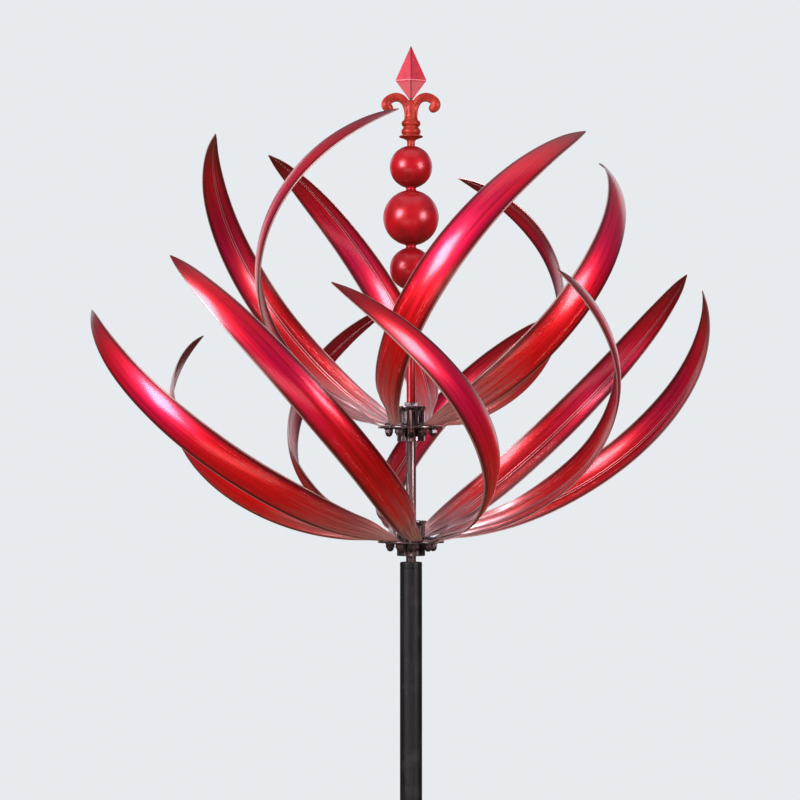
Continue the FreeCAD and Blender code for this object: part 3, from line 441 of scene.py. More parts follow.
def make_finial_paint():
    """Satin paint on a casting: a pitted skin, painted shade in the hollows and rubbed lighter on the edges.
    """
    material, tree, paint = start_material("finial_casting_red")
    place = object_place(tree)
    cloud = noise(tree, place, 90, 4, 0.6)
    grain = noise(tree, place, 700, 3, 0.6)
    colour = ramp(tree, cloud, [(0.28, (0.20, 0.012, 0.006)), (0.52, (0.33, 0.026, 0.012)),
                                (0.76, (0.44, 0.050, 0.024))])
    point = edge_height(tree)
    # Painted shade in the hollows.
    hollows = shares(tree, point, 0.40, 0.49, 1, 0)
    colour = blend(tree, times(tree, hollows, 0.85), colour, (0.10, 0.008, 0.005))
    worn = shares(tree, point, 0.52, 0.60, 0, 1)
    colour = blend(tree, times(tree, worn, 0.45), colour, (0.66, 0.20, 0.11))
    finish_paint(tree, paint, colour, spread(tree, grain, 0.42, 0.56), metallic=0.25, specular=0.2,
                 coat=(0.1, 0.3), relief=(plus(tree, grain, cloud), 0.25, 0.0004))
    return material


def make_diamond_paint():
    """Raspberry red facets with a dark upright ridge, a pale line round the belt and a painted highlight that
    makes the lower pyramid paler.
    """
    material, tree, paint = start_material("finial_diamond_red")
    place = object_place(tree)
    place_parts = split(tree, place)
    cloud = noise(tree, place, 120, 4, 0.6)
    scratches = noise(tree, stretched(tree, place, (1, 1, 3.5)), 260, 3, 0.6)
    colour = ramp(tree, cloud, [(0.30, (0.30, 0.010, 0.020)), (0.55, (0.40, 0.016, 0.028)),
                                (0.78, (0.48, 0.036, 0.048))])
    # Painted highlight: the lower pyramid paler than the upper one.
    below = shares(tree, place_parts["Z"], DIAMOND_WAIST * MM - 0.002, DIAMOND_WAIST * MM, 0.40, 0)
    colour = blend(tree, below, colour, (0.56, 0.17, 0.17))
    colour = blend(tree, shares(tree, scratches, 0.60, 0.74, 0, 0.22), colour, (0.62, 0.22, 0.22))
    ridge = band(tree, place_parts["X"], 0, 0.0011)
    belt = band(tree, place_parts["Z"], (DIAMOND_WAIST + DIAMOND_BELT / 2) * MM, 0.0009)
    colour = blend(tree, times(tree, ridge, 0.9), colour, (0.08, 0.004, 0.008))
    colour = blend(tree, times(tree, belt, 0.45), colour, (0.50, 0.24, 0.22))
    finish_paint(tree, paint, colour, spread(tree, cloud, 0.36, 0.50), metallic=0.15, specular=0.25,
                 coat=(0.08, 0.3), relief=(plus(tree, cloud, scratches), 0.12, 0.0003))
    return material


def make_dark_paint(name, deep, wear_and_sheen_colour, grain_scale, roughness, coat, metallic, specular, bump, pale_marks):
    """Black or near-black paint with upright run marks, pale upright streaks in places that are painted
    reflections, dust and bare edges.
    """
    material, tree, paint = start_material(name)
    place = object_place(tree)
    runs_and_sheen_streaks = noise(tree, stretched(tree, place, (1, 1, 0.04)), 420, 3, 0.6)
    dust = noise(tree, place, 45, 5, 0.65)
    grain = noise(tree, place, grain_scale, 2, 0.6)
    lighter = tuple(channel * 1.9 + 0.004 for channel in deep)
    colour = blend(tree, shares(tree, runs_and_sheen_streaks, 0.35, 0.70, 0, 1), deep, lighter)
    colour = blend(tree, shares(tree, dust, 0.55, 0.80, 0, 0.22), colour, (0.10, 0.095, 0.09))
    # Painted reflection: pale upright streaks, like the lines of light on a glossy tube.
    colour = blend(tree, shares(tree, runs_and_sheen_streaks, 0.59, 0.63, 0, pale_marks), colour, wear_and_sheen_colour)
    worn = shares(tree, edge_height(tree), 0.515, 0.59, 0, 0.8)
    colour = blend(tree, worn, colour, wear_and_sheen_colour)
    uneven = times(tree, plus(tree, runs_and_sheen_streaks, dust), 0.5)
    height = plus(tree, grain, times(tree, dust, 0.5))
    finish_paint(tree, paint, colour, spread(tree, uneven, *roughness), metallic, specular, coat=(coat, 0.08),
                 relief=(height, bump, 0.0004))
    return material


def make_steel():
    """Bright bearing steel with fine turning marks and a film of oil."""
    material, tree, paint = start_material("bearing_bright_steel")
    place = object_place(tree)
    marks = noise(tree, stretched(tree, place, (1, 1, 14)), 420, 3, 0.6)
    film = noise(tree, place, 150, 3, 0.5)
    colour = ramp(tree, film, [(0.30, (0.42, 0.42, 0.43)), (0.60, (0.58, 0.58, 0.60)),
                               (0.80, (0.66, 0.64, 0.60))])
    finish_paint(tree, paint, colour, spread(tree, marks, 0.16, 0.34), metallic=1.0, specular=0.5,
                 coat=(0, 0.03), relief=(marks, 0.15, 0.0002))
    return material


# ---------------- mesh helpers

def mesh_object(name, shape, material, attributes=None):
    """An object from a shape in millimetres: its points and its faces."""
    points, faces = shape
    mesh = bpy.data.meshes.new(name)
    mesh.from_pydata([tuple(Vector(point) * MM) for point in points], [], faces)
    for label, values in (attributes or {}).items():
        layer = mesh.attributes.new(label, "FLOAT", "POINT")
        layer.data.foreach_set("value", values)
    work = bmesh.new()
    work.from_mesh(mesh)
    bmesh.ops.recalc_face_normals(work, faces=work.faces)
    work.to_mesh(mesh)
    work.free()
    mesh.shade_smooth()
    mesh.set_sharp_from_angle(angle=SHARP_ANGLE)
    mesh.materials.append(material)
    piece = bpy.data.objects.new(name, mesh)
    bpy.context.scene.collection.objects.link(piece)
    return piece


def stand_for(piece, body, slot, *nodes):
    """The piece rides on a body in place of CAD nodes."""
    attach(piece, body)
    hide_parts(*nodes)
    return piece


def even_normals(piece):
    modifier = piece.modifiers.new("even_normals", "WEIGHTED_NORMAL")
    modifier.keep_sharp = True
    return piece


def solid_piece(name, shape, material, slot, node, body="stand"):
    stand_for(even_normals(mesh_object(name, shape, material)), body, slot, node)


CORNER_STEPS = 4


def softened(corners, radius):
    """A closed profile with each corner eased into a short curve; points on the axis stay."""
    eased = []
    count = len(corners)
    for index, corner in enumerate(corners):
        here = Vector(corner[:2])
        sides = corner[2] if len(corner) > 2 else 0
        if here.x == 0:
            eased.append((0, here.y, 0))
            continue
        before = Vector(corners[index - 1][:2]) - here
        after = Vector(corners[(index + 1) % count][:2]) - here
        reach = min(radius, before.length * 0.45, after.length * 0.45)
        first = here + before.normalized() * reach
        last = here + after.normalized() * reach
        for step in range(CORNER_STEPS + 1):
            t = step / CORNER_STEPS
            point = first * (1 - t) ** 2 + here * 2 * t * (1 - t) + last * t ** 2
            eased.append((point.x, point.y, sides))
    return eased


def ring_radius(radius, sides, angle):
    """Distance to the outline at an angle: a circle, or a polygon whose flats are `radius` out."""
    if sides == 0:
        return radius
    sector = 2 * pi / sides
    return radius / cos((angle + sector / 2) % sector - sector / 2)


def turned(profile, steps=64):
    """A closed body of revolution about Z. A profile point is (radius, height) or (radius, height, sides)."""
    points = []
    rings = []
    for corner in profile:
        radius, height = corner[:2]
        sides = corner[2] if len(corner) > 2 else 0
        if radius == 0:
            rings.append([len(points)])
            points.append((0, 0, height))
            continue
        rings.append(list(range(len(points), len(points) + steps)))
        for step in range(steps):
            angle = 2 * pi * step / steps
            out = ring_radius(radius, sides, angle)
            points.append((out * cos(angle), out * sin(angle), height))
    faces = []
    for index, ring in enumerate(rings):
        following = rings[(index + 1) % len(rings)]
        for step in range(steps):
            after = (step + 1) % steps
            if len(ring) > 1 and len(following) > 1:
                faces.append((ring[step], ring[after], following[after], following[step]))
            elif len(ring) > 1:
                faces.append((ring[step], ring[after], following[0]))
            elif len(following) > 1:
                faces.append((ring[0], following[after], following[step]))
    return points, faces


def ring_faces(rings, count):
    """The faces between rings of points that follow one another."""
    faces = []
    for base in range(0, (rings - 1) * count, count):
        for step in range(count):
            after = (step + 1) % count
            faces.append((base + step, base + after, base + count + after, base + count + step))
    return faces


def moved(shape, matrix):
    points, faces = shape
    return [tuple(matrix @ Vector(point)) for point in points], faces


def lying(height, axis):
    """Lays a turned shape on its side at a height, tipped about X or Y."""
    return Matrix.Translation((0, 0, height)) @ Matrix.Rotation(pi / 2, 4, axis)


def gathered(shapes):
    """Several shapes as one."""
    points = []
    faces = []
    for some_points, some_faces in shapes:
        offset = len(points)
        points.extend(some_points)
        faces.extend(tuple(corner + offset for corner in face) for face in some_faces)
    return points, faces


def tube_profile(inner, outer, foot, top):
    return [(inner, foot), (outer, foot), (outer, top), (inner, top)]


def span(node):
    """Lowest and highest point of a CAD node, in millimetres."""
    low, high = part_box(node)
    return low.z / MM, high.z / MM


def applied(piece):
    """Turns an object's modifiers into its mesh."""
    graph = bpy.context.evaluated_depsgraph_get()
    mesh = bpy.data.meshes.new_from_object(piece.evaluated_get(graph))
    piece.modifiers.clear()
    piece.data = mesh
    return piece


# ---------------- petals

# The sizes of the petals are the part's own. Fitting programs gave each rotor's tilt, arc, width, depth and
# hand list, by matching the petals' outline to the photo's. The upper rotor's first bearing equals an earlier
# fit's. A hand list holds, for each petal, how many degrees it is turned, raised and rolled, and how far its
# tip reaches beyond the arc's usual end.
SHEET = 1.0
TAB_END = 31
BOLT_OUT = 22
ARC_FOOT = 25
TIP_WIDTH = 1.6
ROTORS = {
    "lower": {
        "sweep": -1, "first": 0, "tilt": 42.5, "radius": 215.5, "centre_out": -21, "centre_up": 218,
        "end": 46, "width": 35, "depth": 5, "tab": 12,
        "hand": [(0, 0.5, -1, 0), (-6.5, -2.5, -2, 0), (-6.5, 0.5, 3.5, 0),
                 (2, -6.5, 0, 0), (-1.5, 0.5, 0.5, 0), (-3, -5, -5, 0),
                 (2, -2, -3.5, 0), (1.5, -2.5, 4.5, 0), (1, -3, -2.5, 0)],
    },
    "upper": {
        "sweep": 1, "first": 182, "tilt": 54, "radius": 184.5, "centre_out": -28, "centre_up": 178,
        "end": 64.5, "width": 37.5, "depth": 4.5, "tab": 12,
        "hand": [(1.5, 0.5, 0, 8), (-1.5, -1.5, -2, 3), (4, 1, -1.5, 0),
                 (0.5, -4, -1.5, 3), (6.5, -2, 3, 0), (-0.5, 2, 1, 0)],
    },
}

# Where along the blade its width is set: share of its length, share of its full width.
LEAF = [
    (0.06, 0.52), (0.13, 0.76), (0.25, 0.96), (0.40, 1.00), (0.56, 0.98),
    (0.70, 0.88), (0.82, 0.73), (0.91, 0.50), (0.97, 0.25),
]
SPANS = 110
TAB_SPANS = 8
TAB_NOSE = 0.6
EDGE_ROUND = 0.35
PLEATS = 3
PLEAT_HEIGHT = 0.8
PLEAT_RISE = (0.0, 0.07)
PLEAT_FALL = (0.10, 0.36)


def natural_spline(knots, rows, samples):
    """The smooth curve through rows of numbers at the knots, read at the samples."""
    count = len(knots)
    step = np.diff(knots)
    system = np.zeros((count, count))
    target = np.zeros_like(rows)
    system[0, 0] = 1
    system[-1, -1] = 1
    for i in range(1, count - 1):
        system[i, i - 1] = step[i - 1]
        system[i, i] = 2 * (step[i - 1] + step[i])
        system[i, i + 1] = step[i]
        target[i] = 6 * ((rows[i + 1] - rows[i]) / step[i] - (rows[i] - rows[i - 1]) / step[i - 1])
    bend = np.linalg.solve(system, target)
    cell = np.clip(np.searchsorted(knots, samples, "right") - 1, 0, count - 2)
    gap = step[cell][:, None]
    a = (knots[cell + 1] - samples)[:, None] / gap
    b = (samples - knots[cell])[:, None] / gap
    swing = ((a ** 3 - a) * bend[cell] + (b ** 3 - b) * bend[cell + 1]) * gap * gap / 6
    return a * rows[cell] + b * rows[cell + 1] + swing


def attitude(across, outward):
    """Rotation that turns X to across and Y to outward."""
    turn = Matrix((across, outward, across.cross(outward))).transposed()
    return turn.to_quaternion()


def petal_sections(rotor, turn, rise, roll, reach):
    """Sections of the blade from the tab's end to the tip: centre, attitude, half width and depth."""
    sweep = rotor["sweep"]
    tilt = radians(rotor["tilt"])
    ahead = Vector((1, 0, 0))
    upward = Vector((0, cos(tilt) * sweep, sin(tilt)))
    across = ahead.cross(upward)
    foot = Vector((ARC_FOOT, 0, 0))
    hand = (Matrix.Rotation(radians(turn), 3, "Z") @ Matrix.Rotation(radians(-rise), 3, "Y")
            @ Matrix.Rotation(radians(roll * sweep), 3, "X"))
    start = -acos((ARC_FOOT - rotor["centre_out"]) / rotor["radius"])
    end = radians(rotor["end"] + reach)
    curl = (rotor["width"] ** 2 / 4 + rotor["depth"] ** 2) / (2 * rotor["depth"])
    leaf = []
    for along, share in LEAF + [(1.0, TIP_WIDTH / rotor["width"])]:
        angle = start + (end - start) * along
        outward = ahead * cos(angle) + upward * sin(angle)
        place = ahead * rotor["centre_out"] + upward * rotor["centre_up"] + outward * rotor["radius"]
        half_width = rotor["width"] * share / 2
        depth = curl - sqrt(curl ** 2 - half_width ** 2)
        centre = foot + hand @ (place - foot)
        leaf.append((centre, attitude(hand @ across, hand @ outward), half_width, depth))
    tab_end = Vector((TAB_END, 0, SHEET / 2))
    flat = attitude(Vector((0, -1, 0)), Vector((0, 0, -1)))
    first_place, first_attitude, first_half, first_depth = leaf[0]
    twist = ((tab_end + first_place) / 2, flat.slerp(first_attitude, 0.5),
             (rotor["tab"] / 2 + first_half) / 2, first_depth / 3)
    return [(tab_end, flat, rotor["tab"] / 2, 0), twist] + leaf


def petal_rows(rotor, hand):
    """Along the petal: centre, half-width vector, sag vector and outward normal, with a share of length."""
    rows = []
    for centre, turn, half_width, depth in petal_sections(rotor, *hand):
        outward = turn @ Vector((0, 1, 0))
        rows.append([*centre, *(turn @ Vector((half_width, 0, 0))), *(outward * -depth), *outward])
    rows = np.array(rows)
    gaps = np.linalg.norm(np.diff(rows[:, :3], axis=0), axis=1)
    knots = np.concatenate(([0], np.cumsum(gaps)))
    samples = np.linspace(0, knots[-1], SPANS + 1)
    blade = natural_spline(knots, rows, samples)
    tab = []
    half_tab = rotor["tab"] / 2
    for step in range(TAB_SPANS):
        back = cos(pi / 2 * step / TAB_SPANS)
        half_width = max(half_tab * sqrt(1 - back ** 2), TAB_NOSE)
        row = rows[0].copy()
        row[0] = BOLT_OUT - half_tab * back
        row[3:6] *= half_width / half_tab
        tab.append(row)
    shares_along = np.concatenate((np.zeros(TAB_SPANS), samples / knots[-1]))
    return np.vstack((tab, blade)), shares_along


def ease(value, low, high):
    t = min(max((value - low) / (high - low), 0), 1)
    return t * t * (3 - 2 * t)


# Places across the sheet, closer together near its two edges.
ACROSS_STEPS = 12
ACROSS = [sin(step / ACROSS_STEPS * pi / 2) for step in range(-ACROSS_STEPS, ACROSS_STEPS + 1)]


def petal_mesh(rotor, hand, number):
    """One petal in its rotor's frame: a closed thin sheet, rounded at its edges and pleated at its base."""
    rows, alongs = petal_rows(rotor, hand)
    points = []
    marks = {label: [] for label in PETAL_MARKS}

    def put(place, along, across, hollow, rim):
        points.append(tuple(place))
        for label, value in zip(PETAL_MARKS, (along, across, hollow, rim, number * SHEET_APART)):
            marks[label].append(value)

    for row, along in zip(rows, alongs):
        centre, side, sag, outward = row[:3], row[3:6], row[6:9], row[9:12]
        outward = outward / np.linalg.norm(outward)
        half_width = max(np.linalg.norm(side), 0.01)
        skin_share = max(1 - EDGE_ROUND / half_width, 0.3)
        pleat = PLEAT_HEIGHT * ease(along, *PLEAT_RISE) * (1 - ease(along, *PLEAT_FALL))

        def at(share, skin):
            ripple = pleat * cos(PLEATS * pi * share) * (1 - share ** 6)
            return centre + side * share + sag * share ** 2 + outward * (skin + ripple)

        for share in ACROSS:
            put(at(share * skin_share, SHEET / 2), along, share, 0, abs(share) == 1)
        put(at(1, 0), along, 1, 0.5, 1)
        for share in reversed(ACROSS):
            put(at(share * skin_share, -SHEET / 2), along, share, 1, abs(share) == 1)
        put(at(-1, 0), along, -1, 0.5, 1)

    ring = 2 * len(ACROSS) + 2
    faces = ring_faces(len(rows), ring)
    last = (len(rows) - 1) * ring
    skins = len(ACROSS)
    for base in (0, last):
        for step in range(skins - 1):
            mirror = base + 2 * skins - step
            faces.append((base + step, base + step + 1, mirror - 1, mirror))
        faces.append((base + skins - 1, base + skins, base + skins + 1))
        faces.append((base + 2 * skins, base + 2 * skins + 1, base))
    return (points, faces), marks


def about_shaft(rotor, index):
    """Turns a shape from the X axis to one petal's place round the shaft."""
    return Matrix.Rotation(radians(360 / len(rotor["hand"]) * index + rotor["first"]), 4, "Z")


def make_petals(paint):
    for tier, rotor in ROTORS.items():
        hub_height = span(f"{tier}_hub_plate")[1]
        count = len(rotor["hand"])
        for index, hand in enumerate(rotor["hand"]):
            shape, marks = petal_mesh(rotor, hand, index + (0 if tier == "lower" else count))
            place = Matrix.Translation((0, 0, hub_height)) @ about_shaft(rotor, index)
            node = f"{tier}_petal_{index + 1}"
            petal = mesh_object(f"{node}_sheet", moved(shape, place), paint, marks)
            stand_for(petal, f"{tier}_rotor", "petal_red", node)


# ---------------- hubs and fasteners

HUB_TUBE = 14
HUB_RIM = 15.5
HUB_BORE = 11
HUB_WAIST_BORE = 9.5
BEARING_SEAT = 8
PLATE = 33
GRUB = 3
BOLT = 2.5
BOLT_HEAD = 4.5
BOLT_HEAD_HEIGHT = 2.6
BOLT_TWIST_DEG = 17
WASHER = 5
NUT_HEX = 4
NUT_HEX_HEIGHT = 4
NUT_DOME = 3.5
NUT_DOME_STEPS = 6


def socket_recess(width, floor, top):
    """Corners of a hexagonal key socket in a screw's end, from its middle outwards."""
    return [(0, floor), (width, floor, 6), (width, top, 6)]


def make_hub(tier, paint, hardware):
    foot, top = span(f"{tier}_hub_tube")
    seat = BEARING_SEAT
    corners = [
        (HUB_BORE, foot), (HUB_TUBE, foot), (HUB_TUBE, top - 4.6), (HUB_RIM, top - 1.6), (HUB_RIM, top),
        (HUB_BORE, top), (HUB_BORE, top - seat), (HUB_WAIST_BORE, top - seat),
        (HUB_WAIST_BORE, foot + seat), (HUB_BORE, foot + seat),
    ]
    housing = mesh_object(f"{tier}_hub_housing", turned(softened(corners, 0.6), 96), paint)
    drill_height = sum(span(f"{tier}_hub_grub_screw")) / 2
    on_side = lying(drill_height, "X")
    drill_profile = [(0, HUB_BORE - 1), (GRUB, HUB_BORE - 1), (GRUB, HUB_TUBE - 0.7),
                     (GRUB + 1.3, HUB_TUBE + 0.6), (0, HUB_TUBE + 0.6)]
    drill = mesh_object("grub_drill", moved(turned(drill_profile, 48), on_side), paint)
    boring = housing.modifiers.new("grub_hole", "BOOLEAN")
    boring.operation = "DIFFERENCE"
    boring.object = drill
    boring.solver = "EXACT"
    applied(housing)
    bpy.data.objects.remove(drill)
    housing.data.set_sharp_from_angle(angle=SHARP_ANGLE)
    even_normals(housing)
    body = f"{tier}_rotor"
    stand_for(housing, body, "hub_black", f"{tier}_hub_tube")

    screw_profile = softened([*socket_recess(1.5, 11.8, 13.1), (GRUB - 0.1, 13.1), (GRUB - 0.1, 11.05),
                              (0, 11.05)], 0.3)
    solid_piece(f"{tier}_set_screw", moved(turned(screw_profile, 48), on_side), hardware, "hardware_dark",
                f"{tier}_hub_grub_screw", body=body)

    low, high = span(f"{tier}_hub_plate")
    disc = turned(softened(tube_profile(HUB_TUBE, PLATE, low, high), 0.6), 128)
    solid_piece(f"{tier}_petal_plate", disc, paint, "hub_black", f"{tier}_hub_plate", body=body)


def around_bolts(tier, shape):
    """A shape repeated at each petal's bolt."""
    rotor = ROTORS[tier]
    copies = []
    for index in range(len(rotor["hand"])):
        place = about_shaft(rotor, index) @ Matrix.Translation((BOLT_OUT, 0, 0))
        spin = Matrix.Rotation(radians(BOLT_TWIST_DEG * index), 4, "Z")
        copies.append(moved(shape, place @ spin))
    return gathered(copies)


def make_fasteners(tier, hardware):
    body = f"{tier}_rotor"
    shank_foot, head_top = span(f"{tier}_petal_bolts")
    head_foot = head_top - BOLT_HEAD_HEIGHT
    bolt = [*socket_recess(1.6, head_top - 1.5, head_top), (2.4, head_top), (3.7, head_top - 0.75),
            (BOLT_HEAD, head_top - 2.0), (BOLT_HEAD, head_foot), (BOLT, head_foot), (BOLT, shank_foot),
            (0, shank_foot)]
    bolts = around_bolts(tier, turned(softened(bolt, 0.35), 48))
    solid_piece(f"{tier}_button_bolts", bolts, hardware, "hardware_dark", f"{tier}_petal_bolts", body=body)

    low, high = span(f"{tier}_petal_washers")
    washer = turned(softened(tube_profile(BOLT, WASHER, low, high), 0.25), 48)
    solid_piece(f"{tier}_thin_washers", around_bolts(tier, washer), hardware, "hardware_dark",
                f"{tier}_petal_washers", body=body)

    low, high = span(f"{tier}_petal_nuts")
    hexes = high - NUT_HEX_HEIGHT
    nut = [(BOLT, hexes + 0.2), (BOLT, high), (3.7, high), (NUT_HEX, high - 0.4, 6),
           (NUT_HEX, hexes + 0.5, 6), (NUT_DOME, hexes)]
    for step in range(1, NUT_DOME_STEPS):
        angle = radians(90 * step / NUT_DOME_STEPS)
        nut.append((NUT_DOME * cos(angle), hexes - (hexes - low) * sin(angle)))
    nut += [(0, low), (0, hexes + 0.2)]
    solid_piece(f"{tier}_domed_nuts", around_bolts(tier, turned(nut, 48)), hardware, "hardware_dark",
                f"{tier}_petal_nuts", body=body)


# ---------------- shaft, pole and stake

SHAFT = 4
SLEEVE = 5
STUD = 3
STUD_LENGTH = 14


def make_shaft_parts(paint, hardware):
    foot, top = span("shaft")
    shoulder = top - STUD_LENGTH
    shaft = [(0, foot), (SHAFT, foot), (SHAFT, shoulder), (STUD, shoulder), (STUD, top), (0, top)]
    solid_piece("steel_shaft", turned(softened(shaft, 0.4), 48), paint, "hub_black", "shaft")
    for name, node in (("lower_sleeve", "neck_spacer"), ("long_sleeve", "middle_spacer")):
        low, high = span(node)
        sleeve = turned(softened(tube_profile(SHAFT, SLEEVE, low, high), 0.3), 48)
        solid_piece(name, sleeve, paint, "hub_black", node)
    low, high = span("shaft_lock_nut")
    nut = [(SHAFT, low), (6.2, low), (6.5, low + 0.5, 6), (6.5, high - 0.5, 6), (6.2, high), (SHAFT, high)]
    solid_piece("hexagon_lock_nut", turned(nut, 96), hardware, "hardware_dark", "shaft_lock_nut")


POLE = 11
POLE_BORE = 9.5
POLE_SCREW_REACH = 22
FIT_GAP = 0.02


def make_pole(paint, hardware):
    for node in ("pole_lower", "pole_middle", "pole_upper"):
        low, high = span(node)
        wall = turned(softened(tube_profile(POLE_BORE, POLE, low, high), 0.45), 72)
        solid_piece(f"{node}_tube", wall, paint, "pole_black", node)

    foot, top = span("pole_cap")
    shoulder = top - 6
    plug = POLE_BORE - FIT_GAP
    bore = SHAFT + FIT_GAP
    cap = [(0, foot), (plug, foot), (plug, shoulder), (POLE, shoulder), (POLE, top), (6.4, top),
           (6.0, top - 0.5), (bore, top - 0.5), (bore, top - 26), (0, top - 26)]
    solid_piece("rounded_pole_cap", turned(softened(cap, 1.3), 72), paint, "pole_black", "pole_cap")

    screws = []
    for joint in ("pole_middle", "pole_upper"):
        for reach in (-POLE_SCREW_REACH, POLE_SCREW_REACH):
            head = [(0, POLE + 0.9), (1.0, POLE + 0.9), (1.3, POLE + 2), (2.3, POLE + 1.9), (3.3, POLE + 1.1),
                    (3.5, POLE - 0.3), (2, POLE - 0.6), (2, 8), (0, 8)]
            screws.append(moved(turned(softened(head, 0.3), 40), lying(span(joint)[0] + reach, "Y")))
    solid_piece("pan_head_pole_screws", gathered(screws), hardware, "hardware_dark", "pole_screws")


def rounded_square(half_side, corner, height, steps=8):
    """The outline of a square with rounded corners, as points."""
    outline = []
    for quarter in range(4):
        turn = pi / 2 * quarter
        centre = half_side - corner
        for step in range(steps + 1):
            angle = turn + pi / 2 * step / steps
            x = centre * (1 if quarter in (0, 3) else -1)
            y = centre * (1 if quarter in (0, 1) else -1)
            outline.append((x + corner * cos(angle), y + corner * sin(angle), height))
    return outline


def stacked(outlines):
    """A closed body through outlines with the same number of points, capped at both ends."""
    count = len(outlines[0])
    points = [point for outline in outlines for point in outline]
    ends = [tuple(range(count)), tuple(range(len(points) - count, len(points)))]
    return points, ends + ring_faces(len(outlines), count)


STEP_PLATE_HALF = 48
STEP_PLATE_CORNER = 10
PRONG = 4
PRONG_OUT = 45
STAKE_SOCKET = 14


def make_stake(paint, hardware):
    low, high = span("step_plate")
    outlines = []
    for inset, height in ((0.8, low), (0.25, low + 0.25), (0, low + 0.8),
                          (0, high - 0.8), (0.25, high - 0.25), (0.8, high)):
        outlines.append(rounded_square(STEP_PLATE_HALF - inset, STEP_PLATE_CORNER - inset, height))
    solid_piece("stake_step_plate", stacked(outlines), paint, "pole_black", "step_plate")

    foot, top = span("stake_prongs")
    prong = turned(softened([(0, foot), (1.0, foot), (PRONG, foot + 26), (PRONG, top), (0, top)], 0.8), 32)
    fillet = [(3.6, top - 3.4), (4.9, top - 2.2), (6.6, top - 0.5), (6.8, top), (3.6, top)]
    weld = turned(softened(fillet, 1.0), 32)
    prongs = []
    for index in range(4):
        bearing = radians(45 + 90 * index)
        place = Matrix.Translation((PRONG_OUT * cos(bearing), PRONG_OUT * sin(bearing), 0))
        prongs.append(moved(gathered([prong, weld]), place))
    solid_piece("pointed_prongs", gathered(prongs), paint, "pole_black", "stake_prongs")

    low, high = span("stake_socket")
    wall = turned(softened(tube_profile(POLE + FIT_GAP, STAKE_SOCKET, low, high), 0.6), 72)
    fillet = [(13.6, low), (17.6, low), (17.2, low + 1.4), (14.9, low + 3.6), (13.6, low + 4.2)]
    bead = turned(softened(fillet, 1.2), 72)
    solid_piece("pole_socket_tube", gathered([wall, bead]), paint, "pole_black", "stake_socket")

    low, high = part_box("stake_thumb_screw")
    inner, outer = low.x / MM, high.x / MM
    head = 6
    knob = [(0, inner), (3, inner), (3, outer - head - 1.2), (4.6, outer - head - 1.2), (5.2, outer - head),
            (7.5, outer - head, 16), (7.5, outer - 0.9, 16), (6.6, outer), (3.4, outer), (2.6, outer - 1.0),
            (0, outer - 1.0)]
    on_side = lying((low.z + high.z) / 2 / MM, "Y")
    solid_piece("fluted_thumb_screw", moved(turned(softened(knob, 0.4), 96), on_side), hardware,
                "hardware_dark", "stake_thumb_screw")


# ---------------- balls and rod

ROD = 4.5
BALL_SEAT = 6
GROOVE_DEPTH = 0.35
GROOVE_ANGLE_DEG = 56
GROOVE_SPREAD_DEG = 1.6
SEAM_HEIGHT = sin(radians(GROOVE_ANGLE_DEG))
BALL_STEPS = 96


def ball_profile(radius, centre):
    """Outline of a spun ball: flat seats, a bored middle and a fine groove round each end."""
    seat_angle = acos(BALL_SEAT / radius)
    profile = [(ROD, centre - radius * sin(seat_angle))]
    for step in range(BALL_STEPS + 1):
        angle = -seat_angle + 2 * seat_angle * step / BALL_STEPS
        groove = max(0, 1 - abs(abs(degrees(angle)) - GROOVE_ANGLE_DEG) / GROOVE_SPREAD_DEG)
        out = radius - GROOVE_DEPTH * groove
        profile.append((out * cos(angle), centre + out * sin(angle)))
    profile.append((ROD, centre + radius * sin(seat_angle)))
    return profile


def make_balls(paint):
    for name, node in (("spun_ball_lower", "lower_ball"), ("spun_ball_middle", "middle_ball"),
                       ("spun_ball_top", "top_ball")):
        low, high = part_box(node)
        radius = (high.x - low.x) / 2 / MM
        centre = (low.z + high.z) / 2 / MM
        ball = mesh_object(name, turned(ball_profile(radius, centre), BALL_STEPS), paint)
        stand_for(ball, "stand", "ball_red", node)

    collars = []
    for under, over in (("lower_ball", "middle_ball"), ("middle_ball", "top_ball")):
        foot = span(under)[1]
        top = span(over)[0]
        middle = (foot + top) / 2
        spool = [(ROD, foot), (5.9, foot), (5.4, foot + 0.5), (4.9, middle), (5.4, top - 0.5), (5.9, top),
                 (ROD, top)]
        collars.append(turned(softened(spool, 0.4), 48))
    solid_piece("ball_spools", gathered(collars), paint, "ball_red", "ball_collars")

    foot, top = span("finial_rod")
    socket = foot + STUD_LENGTH
    shoulder = top - STUD_LENGTH
    rod = [(0, socket), (STUD, socket), (STUD, foot), (ROD, foot), (ROD, shoulder), (STUD, shoulder),
           (STUD, top), (0, top)]
    solid_piece("red_rod", turned(softened(rod, 0.4), 48), paint, "ball_red", "finial_rod")


# ---------------- finial

def make_finial_base(paint):
    """Neck, thin flange and a waist with two rounded mouldings."""
    foot, top = span("finial_base")
    waist = top - 18
    flange = waist - 2
    corners = [
        (0, foot), (4.0, foot), (3.9, foot + 1), (3.9, flange - 3.4), (5.4, flange - 2.0),
        (9.6, flange - 0.2), (11.9, flange + 0.5), (12.0, flange + 1.5), (10.2, waist + 0.1),
        (8.4, waist + 0.5), (8.3, waist + 1.1), (9.4, waist + 2.1), (9.8, waist + 4.0), (9.4, waist + 5.9),
        (8.0, waist + 7.2), (7.5, waist + 8.2), (7.6, waist + 9.2), (8.9, waist + 10.0), (9.7, waist + 12.2),
        (8.9, waist + 14.4), (7.5, waist + 15.2), (6.9, waist + 16.2), (6.6, top), (0, top),
    ]
    solid_piece("moulded_finial_base", turned(softened(corners, 0.7), 72), paint, "finial_red", "finial_base")


def heading(path, index):
    """The direction of a path at one of its points."""
    before = Vector(path[max(index - 1, 0)])
    after = Vector(path[min(index + 1, len(path) - 1)])
    return (after - before).normalized()


